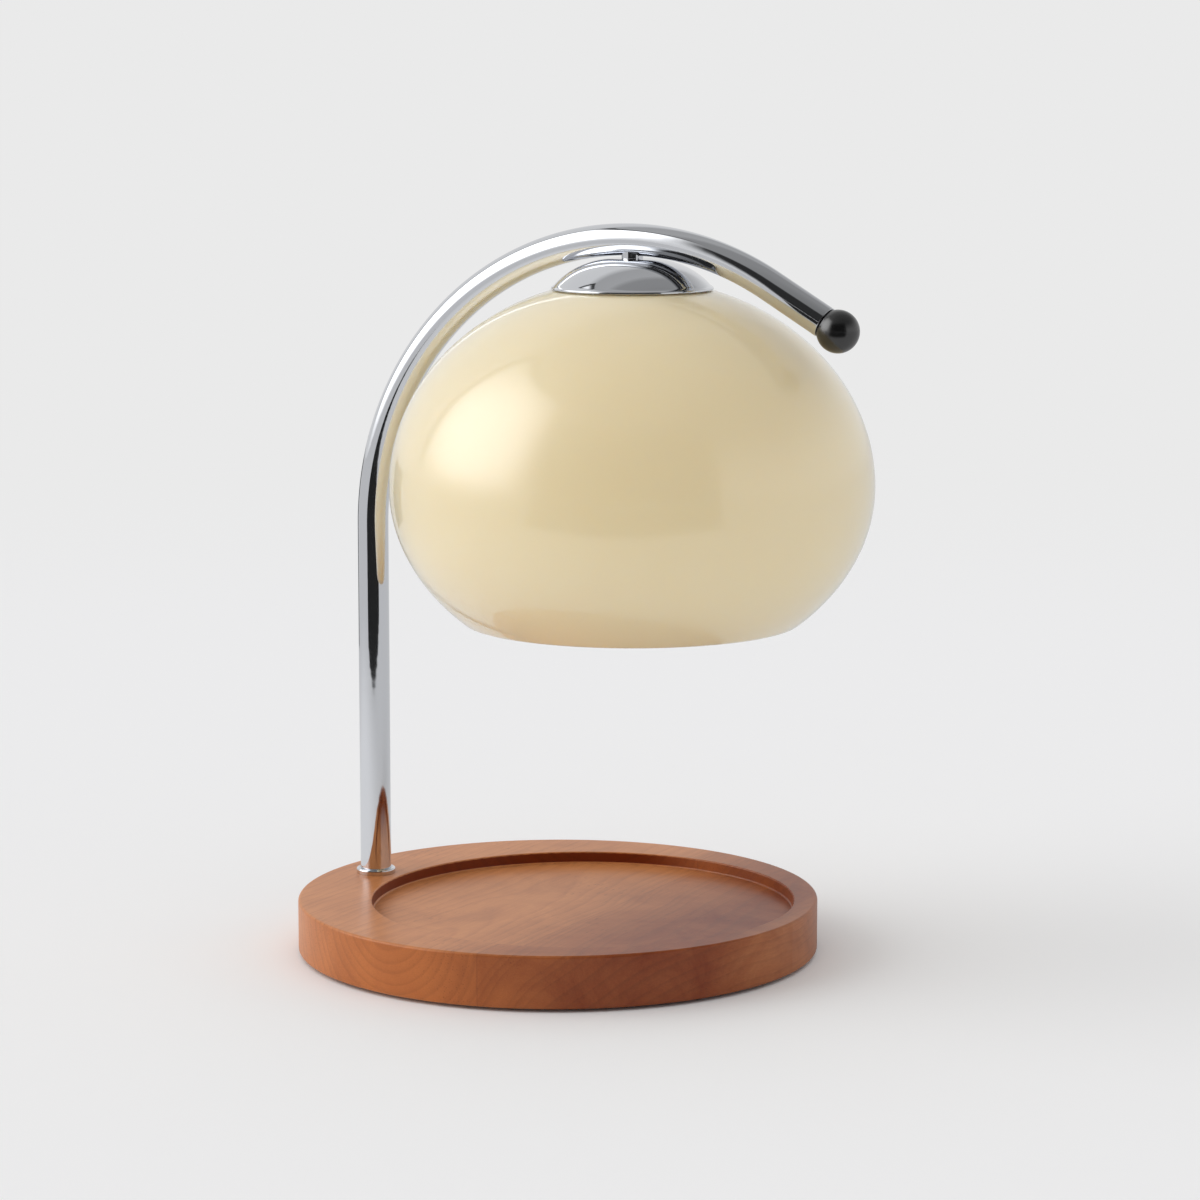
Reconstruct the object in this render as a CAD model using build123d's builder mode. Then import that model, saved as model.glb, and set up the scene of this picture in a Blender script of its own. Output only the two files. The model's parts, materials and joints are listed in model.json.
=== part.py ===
"""Candle warmer lamp: a cream glass shade hung from a bent chrome tube over a round wooden board.

Frame: origin on the table under the board's centre, +Z up, +X from the upright towards the ball.
The lamp's arm lies in the XZ plane. All sizes are in millimetres and angles in degrees.
"""

import os
from math import acos, asin, cos, degrees, pi, radians, sin, sqrt

from build123d import *

os.makedirs("parts", exist_ok=True)

# ---------------------------------------------------------------- driving dimensions
# clearances
slip_gap = 0.05         # radial clearance of a pin, bush or nipple in its hole
seat_gap = 0.2          # gap between two curved or soft faces that rest on each other
wood_gap = 0.3          # radial clearance of metal parts in the wooden board

# board
base_diameter = 200.0
base_thickness = 19.8
base_edge_radius = 1.0
rim_at_pole = 29.9      # width of the board's rim on the upright's side of the recess
rim_opposite = 8.1      # width of the rim on the other side
recess_depth = 4.6
recess_edge_radius = 0.5
recess_corner_radius = 0.8

# underside: pad, cover, wiring pocket
pad_thickness = 1.3
pad_inset = 7.0
cover_thickness = 1.5
cover_inset = 8.0       # from the board's edge to the cover's
cover_screw_inset = 12.0    # from the cover's edge to its screws
cover_screw_angles = (90.0, 210.0, 330.0)
cover_screw_head = 5.6
cover_screw_shank = 2.8
cover_screw_length = 9.0
pocket_roof = 3.5       # wood left between the pocket and the recess
pocket_length = 30.0
pocket_width = 46.0
pocket_corner_radius = 4.0
pocket_from_pole = 29.0
pocket_shift = 6.0      # the block sits this much off the pocket's middle, away from the channel
channel_width = 9.0

# cable inlet
inlet_rise = 5.2        # from the cover to the inlet's axis
inlet_corner_x = 4.8    # where its hole opens into the pocket, from the pocket's corner
inlet_corner_y = 1.5
cord_bore = 6.2
grommet_wall = 1.0
grommet_length = 12.0
grommet_flange_diameter = 12.0
grommet_flange = 1.5
grommet_flange_round = 0.5

# terminal block
block_shift = 1.0       # from the pocket's centre line to the block's
block_length = 20.0
block_width = 17.0
block_lift = 0.6        # air between the cover and the block
block_pole_pitch = 9.0
block_tunnel = 3.6
block_screw_head = 4.4
block_screw_head_height = 1.1
block_screw_tip = 2.4
block_screw_inset = 4.5
block_screw_sink = 0.3
block_edge_chamfer = 1.0
block_bolt_shank = 2.6
block_bolt_head = 4.6
block_bolt_head_height = 2.0
block_bolt_length = 2.6
block_bolt_recess = 4.0

# upright and arm: one bent tube
pole_inset = 18.0       # from the board's edge to the upright's axis
tube_diameter = 12.0
tube_wall = 1.0
bend_start_height = 160.0
bend_radius = 114.0
bend_angle = 120.0
tube_tail = 25.6        # straight end after the bend
tube_lip = 0.6          # inner chamfer of the tube's open end
collar_width = 1.65
collar_height = 2.2
collar_round = 0.68

# tube foot fixings
nipple_diameter = 8.0
nipple_bore = 5.6
foot_bush_length = 14.0
nut_pocket_diameter = 22.0
base_washer_diameter = 20.0
base_washer_thickness = 1.5
lock_washer_diameter = 13.0
lock_washer_thickness = 0.8
lock_tooth_count = 12
lock_tooth_depth = 1.3
lock_tooth_gap = 1.4
nut_flats = 12.0
nut_thickness = 3.5
nipple_overhang = 0.9   # nipple end past its last nut
nut_chamfer = 0.4

# ball on the tube's end
ball_diameter = 16.0
ball_flat_diameter = 8.0
plug_length = 8.0
stud_diameter = 4.0
stud_length = 15.0
stud_depth_in_ball = 9.0
stud_chamfer = 0.5

# shade: two half ellipses that meet at the widest height
shade_radius = 91.3
shade_crown = 77.8
shade_bowl = 71.5
shade_mouth_radius = 62.9
shade_hole_radius = 15.0
glass_wall = 3.0
mouth_edge_radius = 1.1
hole_edge_radius = 0.6

# canopy and shade clamp
canopy_radius = 30.5
canopy_flat_radius = 8.0
canopy_wall = 0.8
canopy_drop = 1.4       # from the arch's underside to the canopy's top
canopy_height = 11.0
canopy_rim_gap = 0.57   # from the canopy's rim down to the glass
upper_gasket_inset = 1.9    # from the canopy's rim to the gasket
upper_gasket_width = 2.4
clamp_plate_radius = 22.0
clamp_plate_thickness = 1.2
lower_gasket_thickness = 1.6
hub_gap = 0.6           # radial clearance of the hub in the shade's hole
hub_wall = 1.4
hub_height = 5.0
nipple_in_tube = 1.0    # nipple end past the tube's wall

# lampholder
bracket_thickness = 1.2
bracket_width = 10.0
bracket_foot = 2.75     # bracket leg past the axis of its screw
bracket_bend_radius = 0.6   # inside of each bend
holder_diameter = 27.0
holder_flat_depth = 0.5
holder_drop = 7.35      # from the bracket's nut to the lampholder
holder_body_height = 9.8
holder_cap_height = 8.8
holder_plate = 3.6      # slotted front plate
holder_cavity_radius = 9.4
cap_cavity_height = 5.0
cap_cavity_radius = 8.0
cap_wire_hole_radius = 2.2
rib_thickness = 2.4
side_screw_drop = 4.2   # from the lampholder's top to its side screws
side_screw_diameter = 3.0
side_screw_depth = 3.4
side_screw_head_diameter = 5.5
side_screw_head = 1.8

# bayonet pins of the bulb and the slots they turn in
pin_circle_radius = 5.0
pin_neck_diameter = 3.0
pin_play = 0.3          # lift of the pin heads over the slotted plate
pin_head_diameter = 4.95
pin_head_length = 3.0
pin_head_chamfer = 0.5
pin_shank_length = 4.0  # part of the pin inside the bulb's base
slot_width = 3.6
entry_diameter = 5.7
twist_angle = 40.0
bulb_face_gap = 0.3
contact_thickness = 0.5
contact_width = 3.4
contact_sweep = 80.0
contact_tab_width = 3.0
contact_tab_height = 3.6
contact_gap = 0.1

# bulb
bulb_length = 46.5      # from the base face to the lens rim
bulb_diameter = 50.6
bulb_base_diameter = 19.2
bulb_base_length = 18.0
bulb_base_chamfer = 1.0
bulb_rim_height = 3.4
bulb_glass = 1.6
bulb_neck_depth = 4.0
bulb_bowl_fullness = 0.72   # where the bowl's arc passes between neck and rim
lens_thickness = 2.0
lens_seat = 0.4
capsule_diameter = 9.0
capsule_length = 17.0
capsule_seat = 3.0
capsule_tip_roundness = 0.95    # share of the capsule's radius

# lead from the terminal block to the lampholder, and the two cores at each of its ends
lead_diameter = 3.0
lead_rise = 3.2         # from the cover to the lead's axis
lead_below_nipple = 2.4
lead_start = 4.5        # the sheath stops this far from the terminal block
lead_corner_spare = 1.1     # straight lead between the terminal block's side and the first bend
core_diameter = 1.4
core_spacing = 1.5
core_corner_radius = 1.5
core_reach = 7.5        # length of core inside the terminal block
core_tail_radius = 0.7
lead_corner_radius = 5.4
lead_foot_radius = 5.0
lead_drop_radius = 7.0

# ---------------------------------------------------------------- places worked out from them
wood_bottom = pad_thickness
wood_top = wood_bottom + base_thickness
base_radius = base_diameter / 2
recess_radius = base_radius - (rim_at_pole + rim_opposite) / 2
recess_shift = (rim_at_pole - rim_opposite) / 2
recess_floor = wood_top - recess_depth
cover_top = wood_bottom + cover_thickness
cover_radius = base_radius - cover_inset
cover_screw_radius = cover_radius - cover_screw_inset
pocket_ceiling = recess_floor - pocket_roof
tube_radius = tube_diameter / 2
tube_bore_radius = tube_radius - tube_wall
nipple_radius = nipple_diameter / 2

collar_bore_radius = tube_radius + slip_gap

pole_x = pole_inset - base_radius
shade_x = pole_x + bend_radius
arch_centre_height = bend_start_height + bend_radius
arch_underside = arch_centre_height - tube_radius
pole_plane = Plane(origin=(pole_x, 0, 0), x_dir=(1, 0, 0), z_dir=(0, -1, 0))
shade_plane = Plane(origin=(shade_x, 0, 0), x_dir=(1, 0, 0), z_dir=(0, -1, 0))
pole_axis = Axis((pole_x, 0, 0), (0, 0, 1))
shade_axis = Axis((shade_x, 0, 0), (0, 0, 1))
opposite_sides = (0, 180)


def at_pole(height):
    """Horizontal plane on the upright's axis."""
    return Plane(origin=(pole_x, 0, height))


def at_shade(height):
    """Horizontal plane on the shade's axis."""
    return Plane(origin=(shade_x, 0, height))


def ellipse_height(radius, half_width, half_height):
    """Height over its centre of a half ellipse at a given radius."""
    return half_height * sqrt(1 - (radius / half_width) ** 2)


def circles(piece, radius):
    """Circular edges of a piece with a given radius."""
    return piece.edges().filter_by(
        lambda edge: edge.geom_type == GeomType.CIRCLE and abs(edge.radius - radius) < slip_gap
    )


def ring(plane, outer_radius, inner_radius, height):
    """Flat ring that stands on a plane."""
    with BuildPart() as flat_ring:
        with BuildSketch(plane):
            Circle(outer_radius)
            Circle(inner_radius, mode=Mode.SUBTRACT)
        extrude(amount=height)
    return flat_ring.part


def hex_nut(plane):
    """Thin hexagon nut for the lamp nipples, its lower face on a plane."""
    with BuildPart() as nut:
        with BuildSketch(plane):
            RegularPolygon(nut_flats / 2, 6, major_radius=False)
            Circle(nipple_radius + slip_gap, mode=Mode.SUBTRACT)
        extrude(amount=nut_thickness)
        outer_edges = nut.edges().filter_by(GeomType.LINE).filter_by(Plane.XY)
        chamfer(outer_edges, nut_chamfer)
    return nut.part


def tooth_washer(plane):
    """Toothed lock washer, lying on a plane."""
    with BuildPart() as washer:
        with BuildSketch(plane):
            Circle(lock_washer_diameter / 2)
            Circle(nipple_radius + slip_gap, mode=Mode.SUBTRACT)
            with PolarLocations(lock_washer_diameter / 2, lock_tooth_count):
                Rectangle(lock_tooth_depth * 2, lock_tooth_gap, mode=Mode.SUBTRACT)
        extrude(amount=lock_washer_thickness)
    return washer.part


# ---------------------------------------------------------------- board
# the block stands where the lead's first bend ends, and the pocket round it
block_y = lead_corner_radius + lead_corner_spare + lead_start + block_length / 2
pocket_x = pole_x + pocket_from_pole
pocket_y = block_y - pocket_shift
block_x = pocket_x + block_shift
# the lead leaves the block at one height and turns up into the nipple above it
lead_height = cover_top + lead_rise
base_nipple_bottom = lead_height + lead_below_nipple
base_nut_bottom = base_nipple_bottom + nipple_overhang
tooth_bottom = base_nut_bottom + nut_thickness
washer_bottom = tooth_bottom + lock_washer_thickness
nut_pocket_ceiling = washer_bottom + base_washer_thickness

inlet_end = Vector(
    pocket_x - pocket_length / 2 + inlet_corner_x,
    pocket_y + pocket_width / 2 - inlet_corner_y,
    0,
)
inlet_out = inlet_end.normalized()
inlet_bore_length = base_radius - inlet_end.length
inlet_mouth = inlet_out * base_radius + Vector(0, 0, cover_top + inlet_rise)
inlet_plane = Plane(origin=inlet_mouth, x_dir=(0, 0, 1), z_dir=inlet_out)
grommet_radius = cord_bore / 2 + grommet_wall

with BuildPart() as wooden_base:
    with BuildSketch(Plane.XY.offset(wood_bottom)):
        Circle(base_radius)
    extrude(amount=base_thickness)
    fillet(wooden_base.edges().filter_by(GeomType.CIRCLE), base_edge_radius)
    # candle recess
    with BuildSketch(Plane.XY.offset(wood_top)):
        with Locations((recess_shift, 0)):
            Circle(recess_radius)
    extrude(amount=-recess_depth, mode=Mode.SUBTRACT)
    fillet(circles(wooden_base, recess_radius).sort_by(Axis.Z)[0], recess_corner_radius)
    fillet(circles(wooden_base, recess_radius).sort_by(Axis.Z)[-1], recess_edge_radius)
    # rebate for the cover
    with BuildSketch(Plane.XY.offset(wood_bottom)):
        Circle(cover_radius + wood_gap)
    extrude(amount=cover_thickness, mode=Mode.SUBTRACT)
    # wiring pocket, channel to the nut pocket
    with BuildSketch(Plane.XY.offset(cover_top)):
        with Locations((pocket_x, pocket_y)):
            RectangleRounded(pocket_length, pocket_width, pocket_corner_radius)
        with Locations(((pole_x + pocket_x) / 2, 0)):
            Rectangle(pocket_x - pole_x, channel_width)
    extrude(amount=pocket_ceiling - cover_top, mode=Mode.SUBTRACT)
    with BuildSketch(at_pole(cover_top)):
        Circle(nut_pocket_diameter / 2)
    extrude(amount=nut_pocket_ceiling - cover_top, mode=Mode.SUBTRACT)
    # hole for the nipple
    with BuildSketch(at_pole(wood_top)):
        Circle(nipple_radius + wood_gap)
    extrude(amount=-base_thickness, mode=Mode.SUBTRACT)
    # cable inlet
    with BuildSketch(inlet_plane):
        Circle(grommet_radius + slip_gap)
    extrude(amount=-inlet_bore_length, mode=Mode.SUBTRACT)
    # pilot holes
    with BuildSketch(Plane.XY.offset(cover_top)):
        for screw_angle in cover_screw_angles:
            with PolarLocations(cover_screw_radius, 1, start_angle=screw_angle):
                Circle(cover_screw_shank / 2 + slip_gap)
    extrude(amount=cover_screw_length, mode=Mode.SUBTRACT)
    with BuildSketch(Plane.XY.offset(pocket_ceiling)):
        with Locations((block_x, block_y)):
            Circle(block_bolt_shank / 2 + slip_gap)
    extrude(amount=block_bolt_length, mode=Mode.SUBTRACT)
wooden_base.part.label = "wooden_base"

with BuildPart() as base_pad:
    with BuildSketch(Plane.XY):
        Circle(base_radius - pad_inset)
    extrude(amount=pad_thickness)
base_pad.part.label = "base_pad"

with BuildPart() as base_cover:
    with BuildSketch(Plane.XY.offset(wood_bottom)):
        Circle(cover_radius)
    extrude(amount=cover_thickness)
    underside = Plane(origin=(0, 0, wood_bottom), x_dir=(1, 0, 0), z_dir=(0, 0, -1))
    for screw_angle in cover_screw_angles:
        with Locations(underside):
            with PolarLocations(cover_screw_radius, 1, start_angle=-screw_angle):
                CounterSinkHole(
                    radius=cover_screw_shank / 2 + slip_gap,
                    counter_sink_radius=cover_screw_head / 2 + slip_gap,
                    depth=cover_thickness,
                )
base_cover.part.label = "base_cover"

screw_head_height = (cover_screw_head - cover_screw_shank) / 2
with BuildPart() as cover_screws:
    for screw_angle in cover_screw_angles:
        screw_x = cover_screw_radius * cos(radians(screw_angle))
        screw_y = cover_screw_radius * sin(radians(screw_angle))
        screw_plane = Plane(origin=(screw_x, screw_y, 0), x_dir=(1, 0, 0), z_dir=(0, -1, 0))
        with BuildSketch(screw_plane):
            with BuildLine():
                Polyline(
                    (0, wood_bottom),
                    (cover_screw_head / 2, wood_bottom),
                    (cover_screw_shank / 2, wood_bottom + screw_head_height),
                    (cover_screw_shank / 2, cover_top + cover_screw_length - cover_screw_shank),
                    (0, cover_top + cover_screw_length),
                    close=True,
                )
            make_face()
        revolve(axis=Axis((screw_x, screw_y, 0), (0, 0, 1)))
cover_screws.part.label = "cover_screws"

with BuildPart() as inlet_grommet:
    with BuildSketch(inlet_plane.offset(slip_gap)):
        Circle(grommet_flange_diameter / 2)
    extrude(amount=grommet_flange)
    fillet(inlet_grommet.edges().group_by(Axis(inlet_mouth, inlet_out))[-1], grommet_flange_round)
    with BuildSketch(inlet_plane.offset(slip_gap)):
        Circle(grommet_radius)
    extrude(amount=-grommet_length)
    with BuildSketch(inlet_plane.offset(slip_gap + grommet_flange)):
        Circle(cord_bore / 2)
    extrude(amount=-grommet_length - grommet_flange, mode=Mode.SUBTRACT)
inlet_grommet.part.label = "inlet_grommet"

# ---------------------------------------------------------------- terminal block
block_bottom = cover_top + block_lift
block_height = pocket_ceiling - block_bottom
pole_offsets = (-block_pole_pitch / 2, block_pole_pitch / 2)
screw_rows = (-block_length / 2 + block_screw_inset, block_length / 2 - block_screw_inset)
screw_places = [(offset, row) for offset in pole_offsets for row in screw_rows]

with BuildPart() as terminal_block:
    with BuildSketch(Plane(origin=(block_x, block_y, block_bottom))):
        Rectangle(block_width, block_length)
    extrude(amount=block_height)
    chamfer(terminal_block.edges().filter_by(Axis.Z), block_edge_chamfer)
    # wire tunnels
    tunnel_start = block_y - block_length / 2
    with BuildSketch(Plane(origin=(block_x, tunnel_start, 0), x_dir=(1, 0, 0), z_dir=(0, -1, 0))):
        with Locations(*[(offset, lead_height) for offset in pole_offsets]):
            Circle(block_tunnel / 2)
    extrude(amount=-block_length, mode=Mode.SUBTRACT)
    # screw wells
    with BuildSketch(Plane(origin=(block_x, block_y, block_bottom))):
        with Locations(*screw_places):
            Circle(block_screw_head / 2 + seat_gap)
    extrude(amount=lead_height - block_bottom, mode=Mode.SUBTRACT)
    # hole for the fixing screw, with a well for its head
    with BuildSketch(Plane(origin=(block_x, block_y, block_bottom))):
        Circle(block_bolt_shank / 2 + slip_gap)
    extrude(amount=block_height, mode=Mode.SUBTRACT)
    with BuildSketch(Plane(origin=(block_x, block_y, block_bottom))):
        Circle(block_bolt_head / 2 + slip_gap)
    extrude(amount=block_bolt_recess, mode=Mode.SUBTRACT)
terminal_block.part.label = "terminal_block"

core_radius = core_diameter / 2
block_screw_bottom = block_bottom + block_screw_sink
with BuildPart() as terminal_screws:
    for offset, row in screw_places:
        with BuildSketch(Plane(origin=(block_x + offset, block_y + row, block_screw_bottom))):
            Circle(block_screw_head / 2)
        extrude(amount=block_screw_head_height)
        with BuildSketch(Plane(origin=(block_x + offset, block_y + row, block_screw_bottom))):
            Circle(block_screw_tip / 2)
        extrude(amount=lead_height - core_radius - slip_gap - block_screw_bottom)
terminal_screws.part.label = "terminal_screws"

with BuildPart() as block_screw:
    with BuildSketch(Plane(origin=(block_x, block_y, block_bottom + block_bolt_recess))):
        Circle(block_bolt_head / 2)
    extrude(amount=-block_bolt_head_height)
    with BuildSketch(Plane(origin=(block_x, block_y, block_bottom + block_bolt_recess))):
        Circle(block_bolt_shank / 2)
    extrude(amount=block_height - block_bolt_recess + block_bolt_length)
block_screw.part.label = "block_screw"

# ---------------------------------------------------------------- upright and arm
with BuildPart() as stem_tube:
    with BuildLine(Plane.XZ) as stem_path:
        rise = Line((pole_x, wood_top), (pole_x, bend_start_height))
        bend = JernArc(start=rise @ 1, tangent=rise % 1, radius=bend_radius, arc_size=-bend_angle)
        tail = Line(bend @ 1, bend @ 1 + (bend % 1) * tube_tail)
    with BuildSketch(at_pole(wood_top)):
        Circle(tube_radius)
        Circle(tube_bore_radius, mode=Mode.SUBTRACT)
    sweep(path=stem_path.wire())
    # hole in the underside of the arch for the shade's nipple
    with BuildSketch(at_shade(arch_centre_height)):
        Circle(nipple_radius + slip_gap)
    extrude(amount=-tube_diameter, mode=Mode.SUBTRACT)
    tail_end = tail @ 1
    tail_direction = tail % 1
    chamfer(circles(stem_tube, tube_bore_radius).sort_by_distance(tail_end)[0], tube_lip)
stem_tube.part.label = "stem_tube"

with BuildPart() as tube_collar:
    with BuildSketch(pole_plane):
        with Locations((collar_bore_radius + collar_width / 2, wood_top + collar_height / 2)):
            RectangleRounded(collar_width, collar_height, collar_round)
    revolve(axis=pole_axis)
tube_collar.part.label = "tube_collar"

foot_bush = ring(at_pole(wood_top), tube_bore_radius - slip_gap, nipple_radius + slip_gap, foot_bush_length)
foot_bush.label = "foot_bush"

base_nipple = ring(
    at_pole(base_nipple_bottom),
    nipple_radius,
    nipple_bore / 2,
    wood_top + foot_bush_length - base_nipple_bottom,
)
base_nipple.label = "base_nipple"
base_washer = ring(
    at_pole(washer_bottom), base_washer_diameter / 2, nipple_radius + slip_gap, base_washer_thickness
)
base_washer.label = "base_washer"
base_lock_washer = tooth_washer(at_pole(tooth_bottom))
base_lock_washer.label = "base_lock_washer"
base_nut = hex_nut(at_pole(base_nut_bottom))
base_nut.label = "base_nut"

# ---------------------------------------------------------------- ball on the tube's end
# the ball sits on the chamfer in the tube's mouth
ball_radius = ball_diameter / 2
ball_seat_radius = tube_bore_radius + tube_lip / 2
ball_centre = tail_end + tail_direction * sqrt(ball_radius**2 - ball_seat_radius**2)
flat_distance = sqrt(ball_radius**2 - (ball_flat_diameter / 2) ** 2)
flat_centre = ball_centre - tail_direction * flat_distance
flat_plane = Plane(origin=flat_centre, x_dir=(0, 1, 0), z_dir=tail_direction)

with BuildPart() as ball_finial:
    with Locations(ball_centre):
        Sphere(ball_radius)
    split(bisect_by=flat_plane, keep=Keep.TOP)
    with BuildSketch(flat_plane):
        Circle(stud_diameter / 2 + slip_gap)
    extrude(amount=stud_depth_in_ball, mode=Mode.SUBTRACT)
ball_finial.part.label = "ball_finial"

with BuildPart() as end_plug:
    with BuildSketch(flat_plane):
        Circle(tube_bore_radius - slip_gap)
        Circle(stud_diameter / 2 + slip_gap, mode=Mode.SUBTRACT)
    extrude(amount=-plug_length)
end_plug.part.label = "end_plug"

with BuildPart() as ball_stud:
    with BuildSketch(flat_plane.offset(stud_depth_in_ball - seat_gap - stud_length)):
        Circle(stud_diameter / 2)
    extrude(amount=stud_length)
    chamfer(ball_stud.edges().filter_by(GeomType.CIRCLE), stud_chamfer)
ball_stud.part.label = "ball_stud"

# ---------------------------------------------------------------- glass shade
# the shade hangs from the arch by way of the canopy
canopy_top_height = arch_underside - canopy_drop
canopy_rim_height = canopy_top_height - canopy_height
shade_widest_height = (
    canopy_rim_height - canopy_rim_gap - ellipse_height(canopy_radius, shade_radius, shade_crown)
)
inner_radius = shade_radius - glass_wall
inner_crown = shade_crown - glass_wall
inner_bowl = shade_bowl - glass_wall
shade_centre = (0, shade_widest_height)
mouth_drop = ellipse_height(shade_mouth_radius, shade_radius, shade_bowl)
hole_turn = degrees(acos(shade_hole_radius / shade_radius))
inner_hole_turn = degrees(acos(shade_hole_radius / inner_radius))
mouth_turn = degrees(asin(mouth_drop / shade_bowl))
inner_mouth_turn = degrees(asin(mouth_drop / inner_bowl))
mouth_height = shade_widest_height - mouth_drop

with BuildPart() as glass_shade:
    with BuildSketch(shade_plane):
        with BuildLine():
            outer_crown = EllipticalCenterArc(
                shade_centre, shade_radius, shade_crown, start_angle=0, arc_size=hole_turn
            )
            outer_bowl = EllipticalCenterArc(
                shade_centre, shade_radius, shade_bowl, start_angle=-mouth_turn, arc_size=mouth_turn
            )
            inner_crown_arc = EllipticalCenterArc(
                shade_centre, inner_radius, inner_crown, start_angle=0, arc_size=inner_hole_turn
            )
            inner_bowl_arc = EllipticalCenterArc(
                shade_centre,
                inner_radius,
                inner_bowl,
                start_angle=-inner_mouth_turn,
                arc_size=inner_mouth_turn,
            )
            Line(outer_crown @ 1, inner_crown_arc @ 1)
            Line(outer_bowl @ 0, inner_bowl_arc @ 0)
        make_face()
    revolve(axis=shade_axis)
    fillet(glass_shade.edges().filter_by(GeomType.CIRCLE).group_by(Axis.Z)[0], mouth_edge_radius)
    fillet(glass_shade.edges().filter_by(GeomType.CIRCLE).group_by(Axis.Z)[-1], hole_edge_radius)
glass_shade.part.label = "glass_shade"

# ---------------------------------------------------------------- canopy and shade clamp
canopy_slope = canopy_radius - canopy_flat_radius
canopy_arc_radius = (canopy_slope**2 + canopy_height**2) / (2 * canopy_height)
canopy_arc_centre = canopy_top_height - canopy_arc_radius
canopy_turn = degrees(asin(canopy_slope / canopy_arc_radius))
canopy_inner_arc = canopy_arc_radius - canopy_wall
canopy_inner_turn = degrees(acos((canopy_rim_height - canopy_arc_centre) / canopy_inner_arc))


def canopy_underside(radius):
    """Height of the canopy's inner face at a radius outside its flat."""
    return canopy_arc_centre + sqrt(canopy_inner_arc**2 - (radius - canopy_flat_radius) ** 2)


def glass_outside(radius):
    """Height of the shade's outer face at a radius above its widest line."""
    return shade_widest_height + ellipse_height(radius, shade_radius, shade_crown)


with BuildPart() as canopy:
    with BuildSketch(shade_plane):
        with BuildLine():
            arc_centre = (canopy_flat_radius, canopy_arc_centre)
            outer_arc = CenterArc(arc_centre, canopy_arc_radius, 90 - canopy_turn, canopy_turn)
            inner_arc = CenterArc(arc_centre, canopy_inner_arc, 90 - canopy_inner_turn, canopy_inner_turn)
            outer_flat = Line(outer_arc @ 1, (nipple_radius + slip_gap, canopy_top_height))
            inner_flat = Line(inner_arc @ 1, (nipple_radius + slip_gap, canopy_top_height - canopy_wall))
            Line(outer_flat @ 1, inner_flat @ 1)
            Line(outer_arc @ 0, inner_arc @ 0)
        make_face()
    revolve(axis=shade_axis)
canopy.part.label = "canopy"

upper_gasket_radius = canopy_radius - upper_gasket_inset
upper_gasket_inner = upper_gasket_radius - upper_gasket_width
with BuildPart() as upper_gasket:
    with BuildSketch(shade_plane):
        with BuildLine():
            Polyline(
                (upper_gasket_inner, glass_outside(upper_gasket_inner) + seat_gap),
                (upper_gasket_radius, glass_outside(upper_gasket_radius) + seat_gap),
                (upper_gasket_radius, canopy_underside(upper_gasket_radius) - seat_gap),
                (upper_gasket_inner, canopy_underside(upper_gasket_inner) - seat_gap),
                close=True,
            )
        make_face()
    revolve(axis=shade_axis)
upper_gasket.part.label = "upper_gasket"

gasket_top = (
    shade_widest_height + ellipse_height(clamp_plate_radius, inner_radius, inner_crown) - seat_gap
)
plate_top = gasket_top - lower_gasket_thickness
plate_bottom = plate_top - clamp_plate_thickness
lower_gasket = ring(
    at_shade(plate_top), clamp_plate_radius, shade_hole_radius + seat_gap, lower_gasket_thickness
)
lower_gasket.label = "lower_gasket"

hub_radius = shade_hole_radius - hub_gap
with BuildPart() as clamp_plate:
    with BuildSketch(at_shade(plate_bottom)):
        Circle(clamp_plate_radius)
    extrude(amount=clamp_plate_thickness)
    with BuildSketch(at_shade(plate_top)):
        Circle(hub_radius)
        Circle(hub_radius - hub_wall, mode=Mode.SUBTRACT)
    extrude(amount=hub_height)
    with BuildSketch(at_shade(plate_bottom)):
        Circle(nipple_radius + slip_gap)
    extrude(amount=clamp_plate_thickness, mode=Mode.SUBTRACT)
clamp_plate.part.label = "clamp_plate"

shade_tooth_bottom = plate_bottom - lock_washer_thickness
clamp_nut_bottom = shade_tooth_bottom - nut_thickness
bracket_top = clamp_nut_bottom
bracket_nut_bottom = bracket_top - bracket_thickness - nut_thickness
shade_nipple_bottom = bracket_nut_bottom - nipple_overhang

shade_lock_washer = tooth_washer(at_shade(shade_tooth_bottom))
shade_lock_washer.label = "shade_lock_washer"
clamp_nut = hex_nut(at_shade(clamp_nut_bottom))
clamp_nut.label = "clamp_nut"
bracket_nut = hex_nut(at_shade(bracket_nut_bottom))
bracket_nut.label = "bracket_nut"
shade_nipple_top = arch_underside + tube_wall + nipple_in_tube
shade_nipple = ring(
    at_shade(shade_nipple_bottom), nipple_radius, nipple_bore / 2, shade_nipple_top - shade_nipple_bottom
)
shade_nipple.label = "shade_nipple"

# ---------------------------------------------------------------- lampholder
holder_cap_top = bracket_nut_bottom - holder_drop
holder_body_top = holder_cap_top - holder_cap_height
holder_face_height = holder_body_top - holder_body_height
plate_back = holder_face_height + holder_plate
side_screw_height = holder_cap_top - side_screw_drop
holder_flats = holder_diameter - 2 * holder_flat_depth
leg_inside = holder_flats / 2 + slip_gap
leg_outside = leg_inside + bracket_thickness
bracket_leg = bracket_top - side_screw_height + bracket_foot
side_plane = Plane(origin=(shade_x, 0, 0), x_dir=(0, 1, 0), z_dir=(1, 0, 0))

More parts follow.
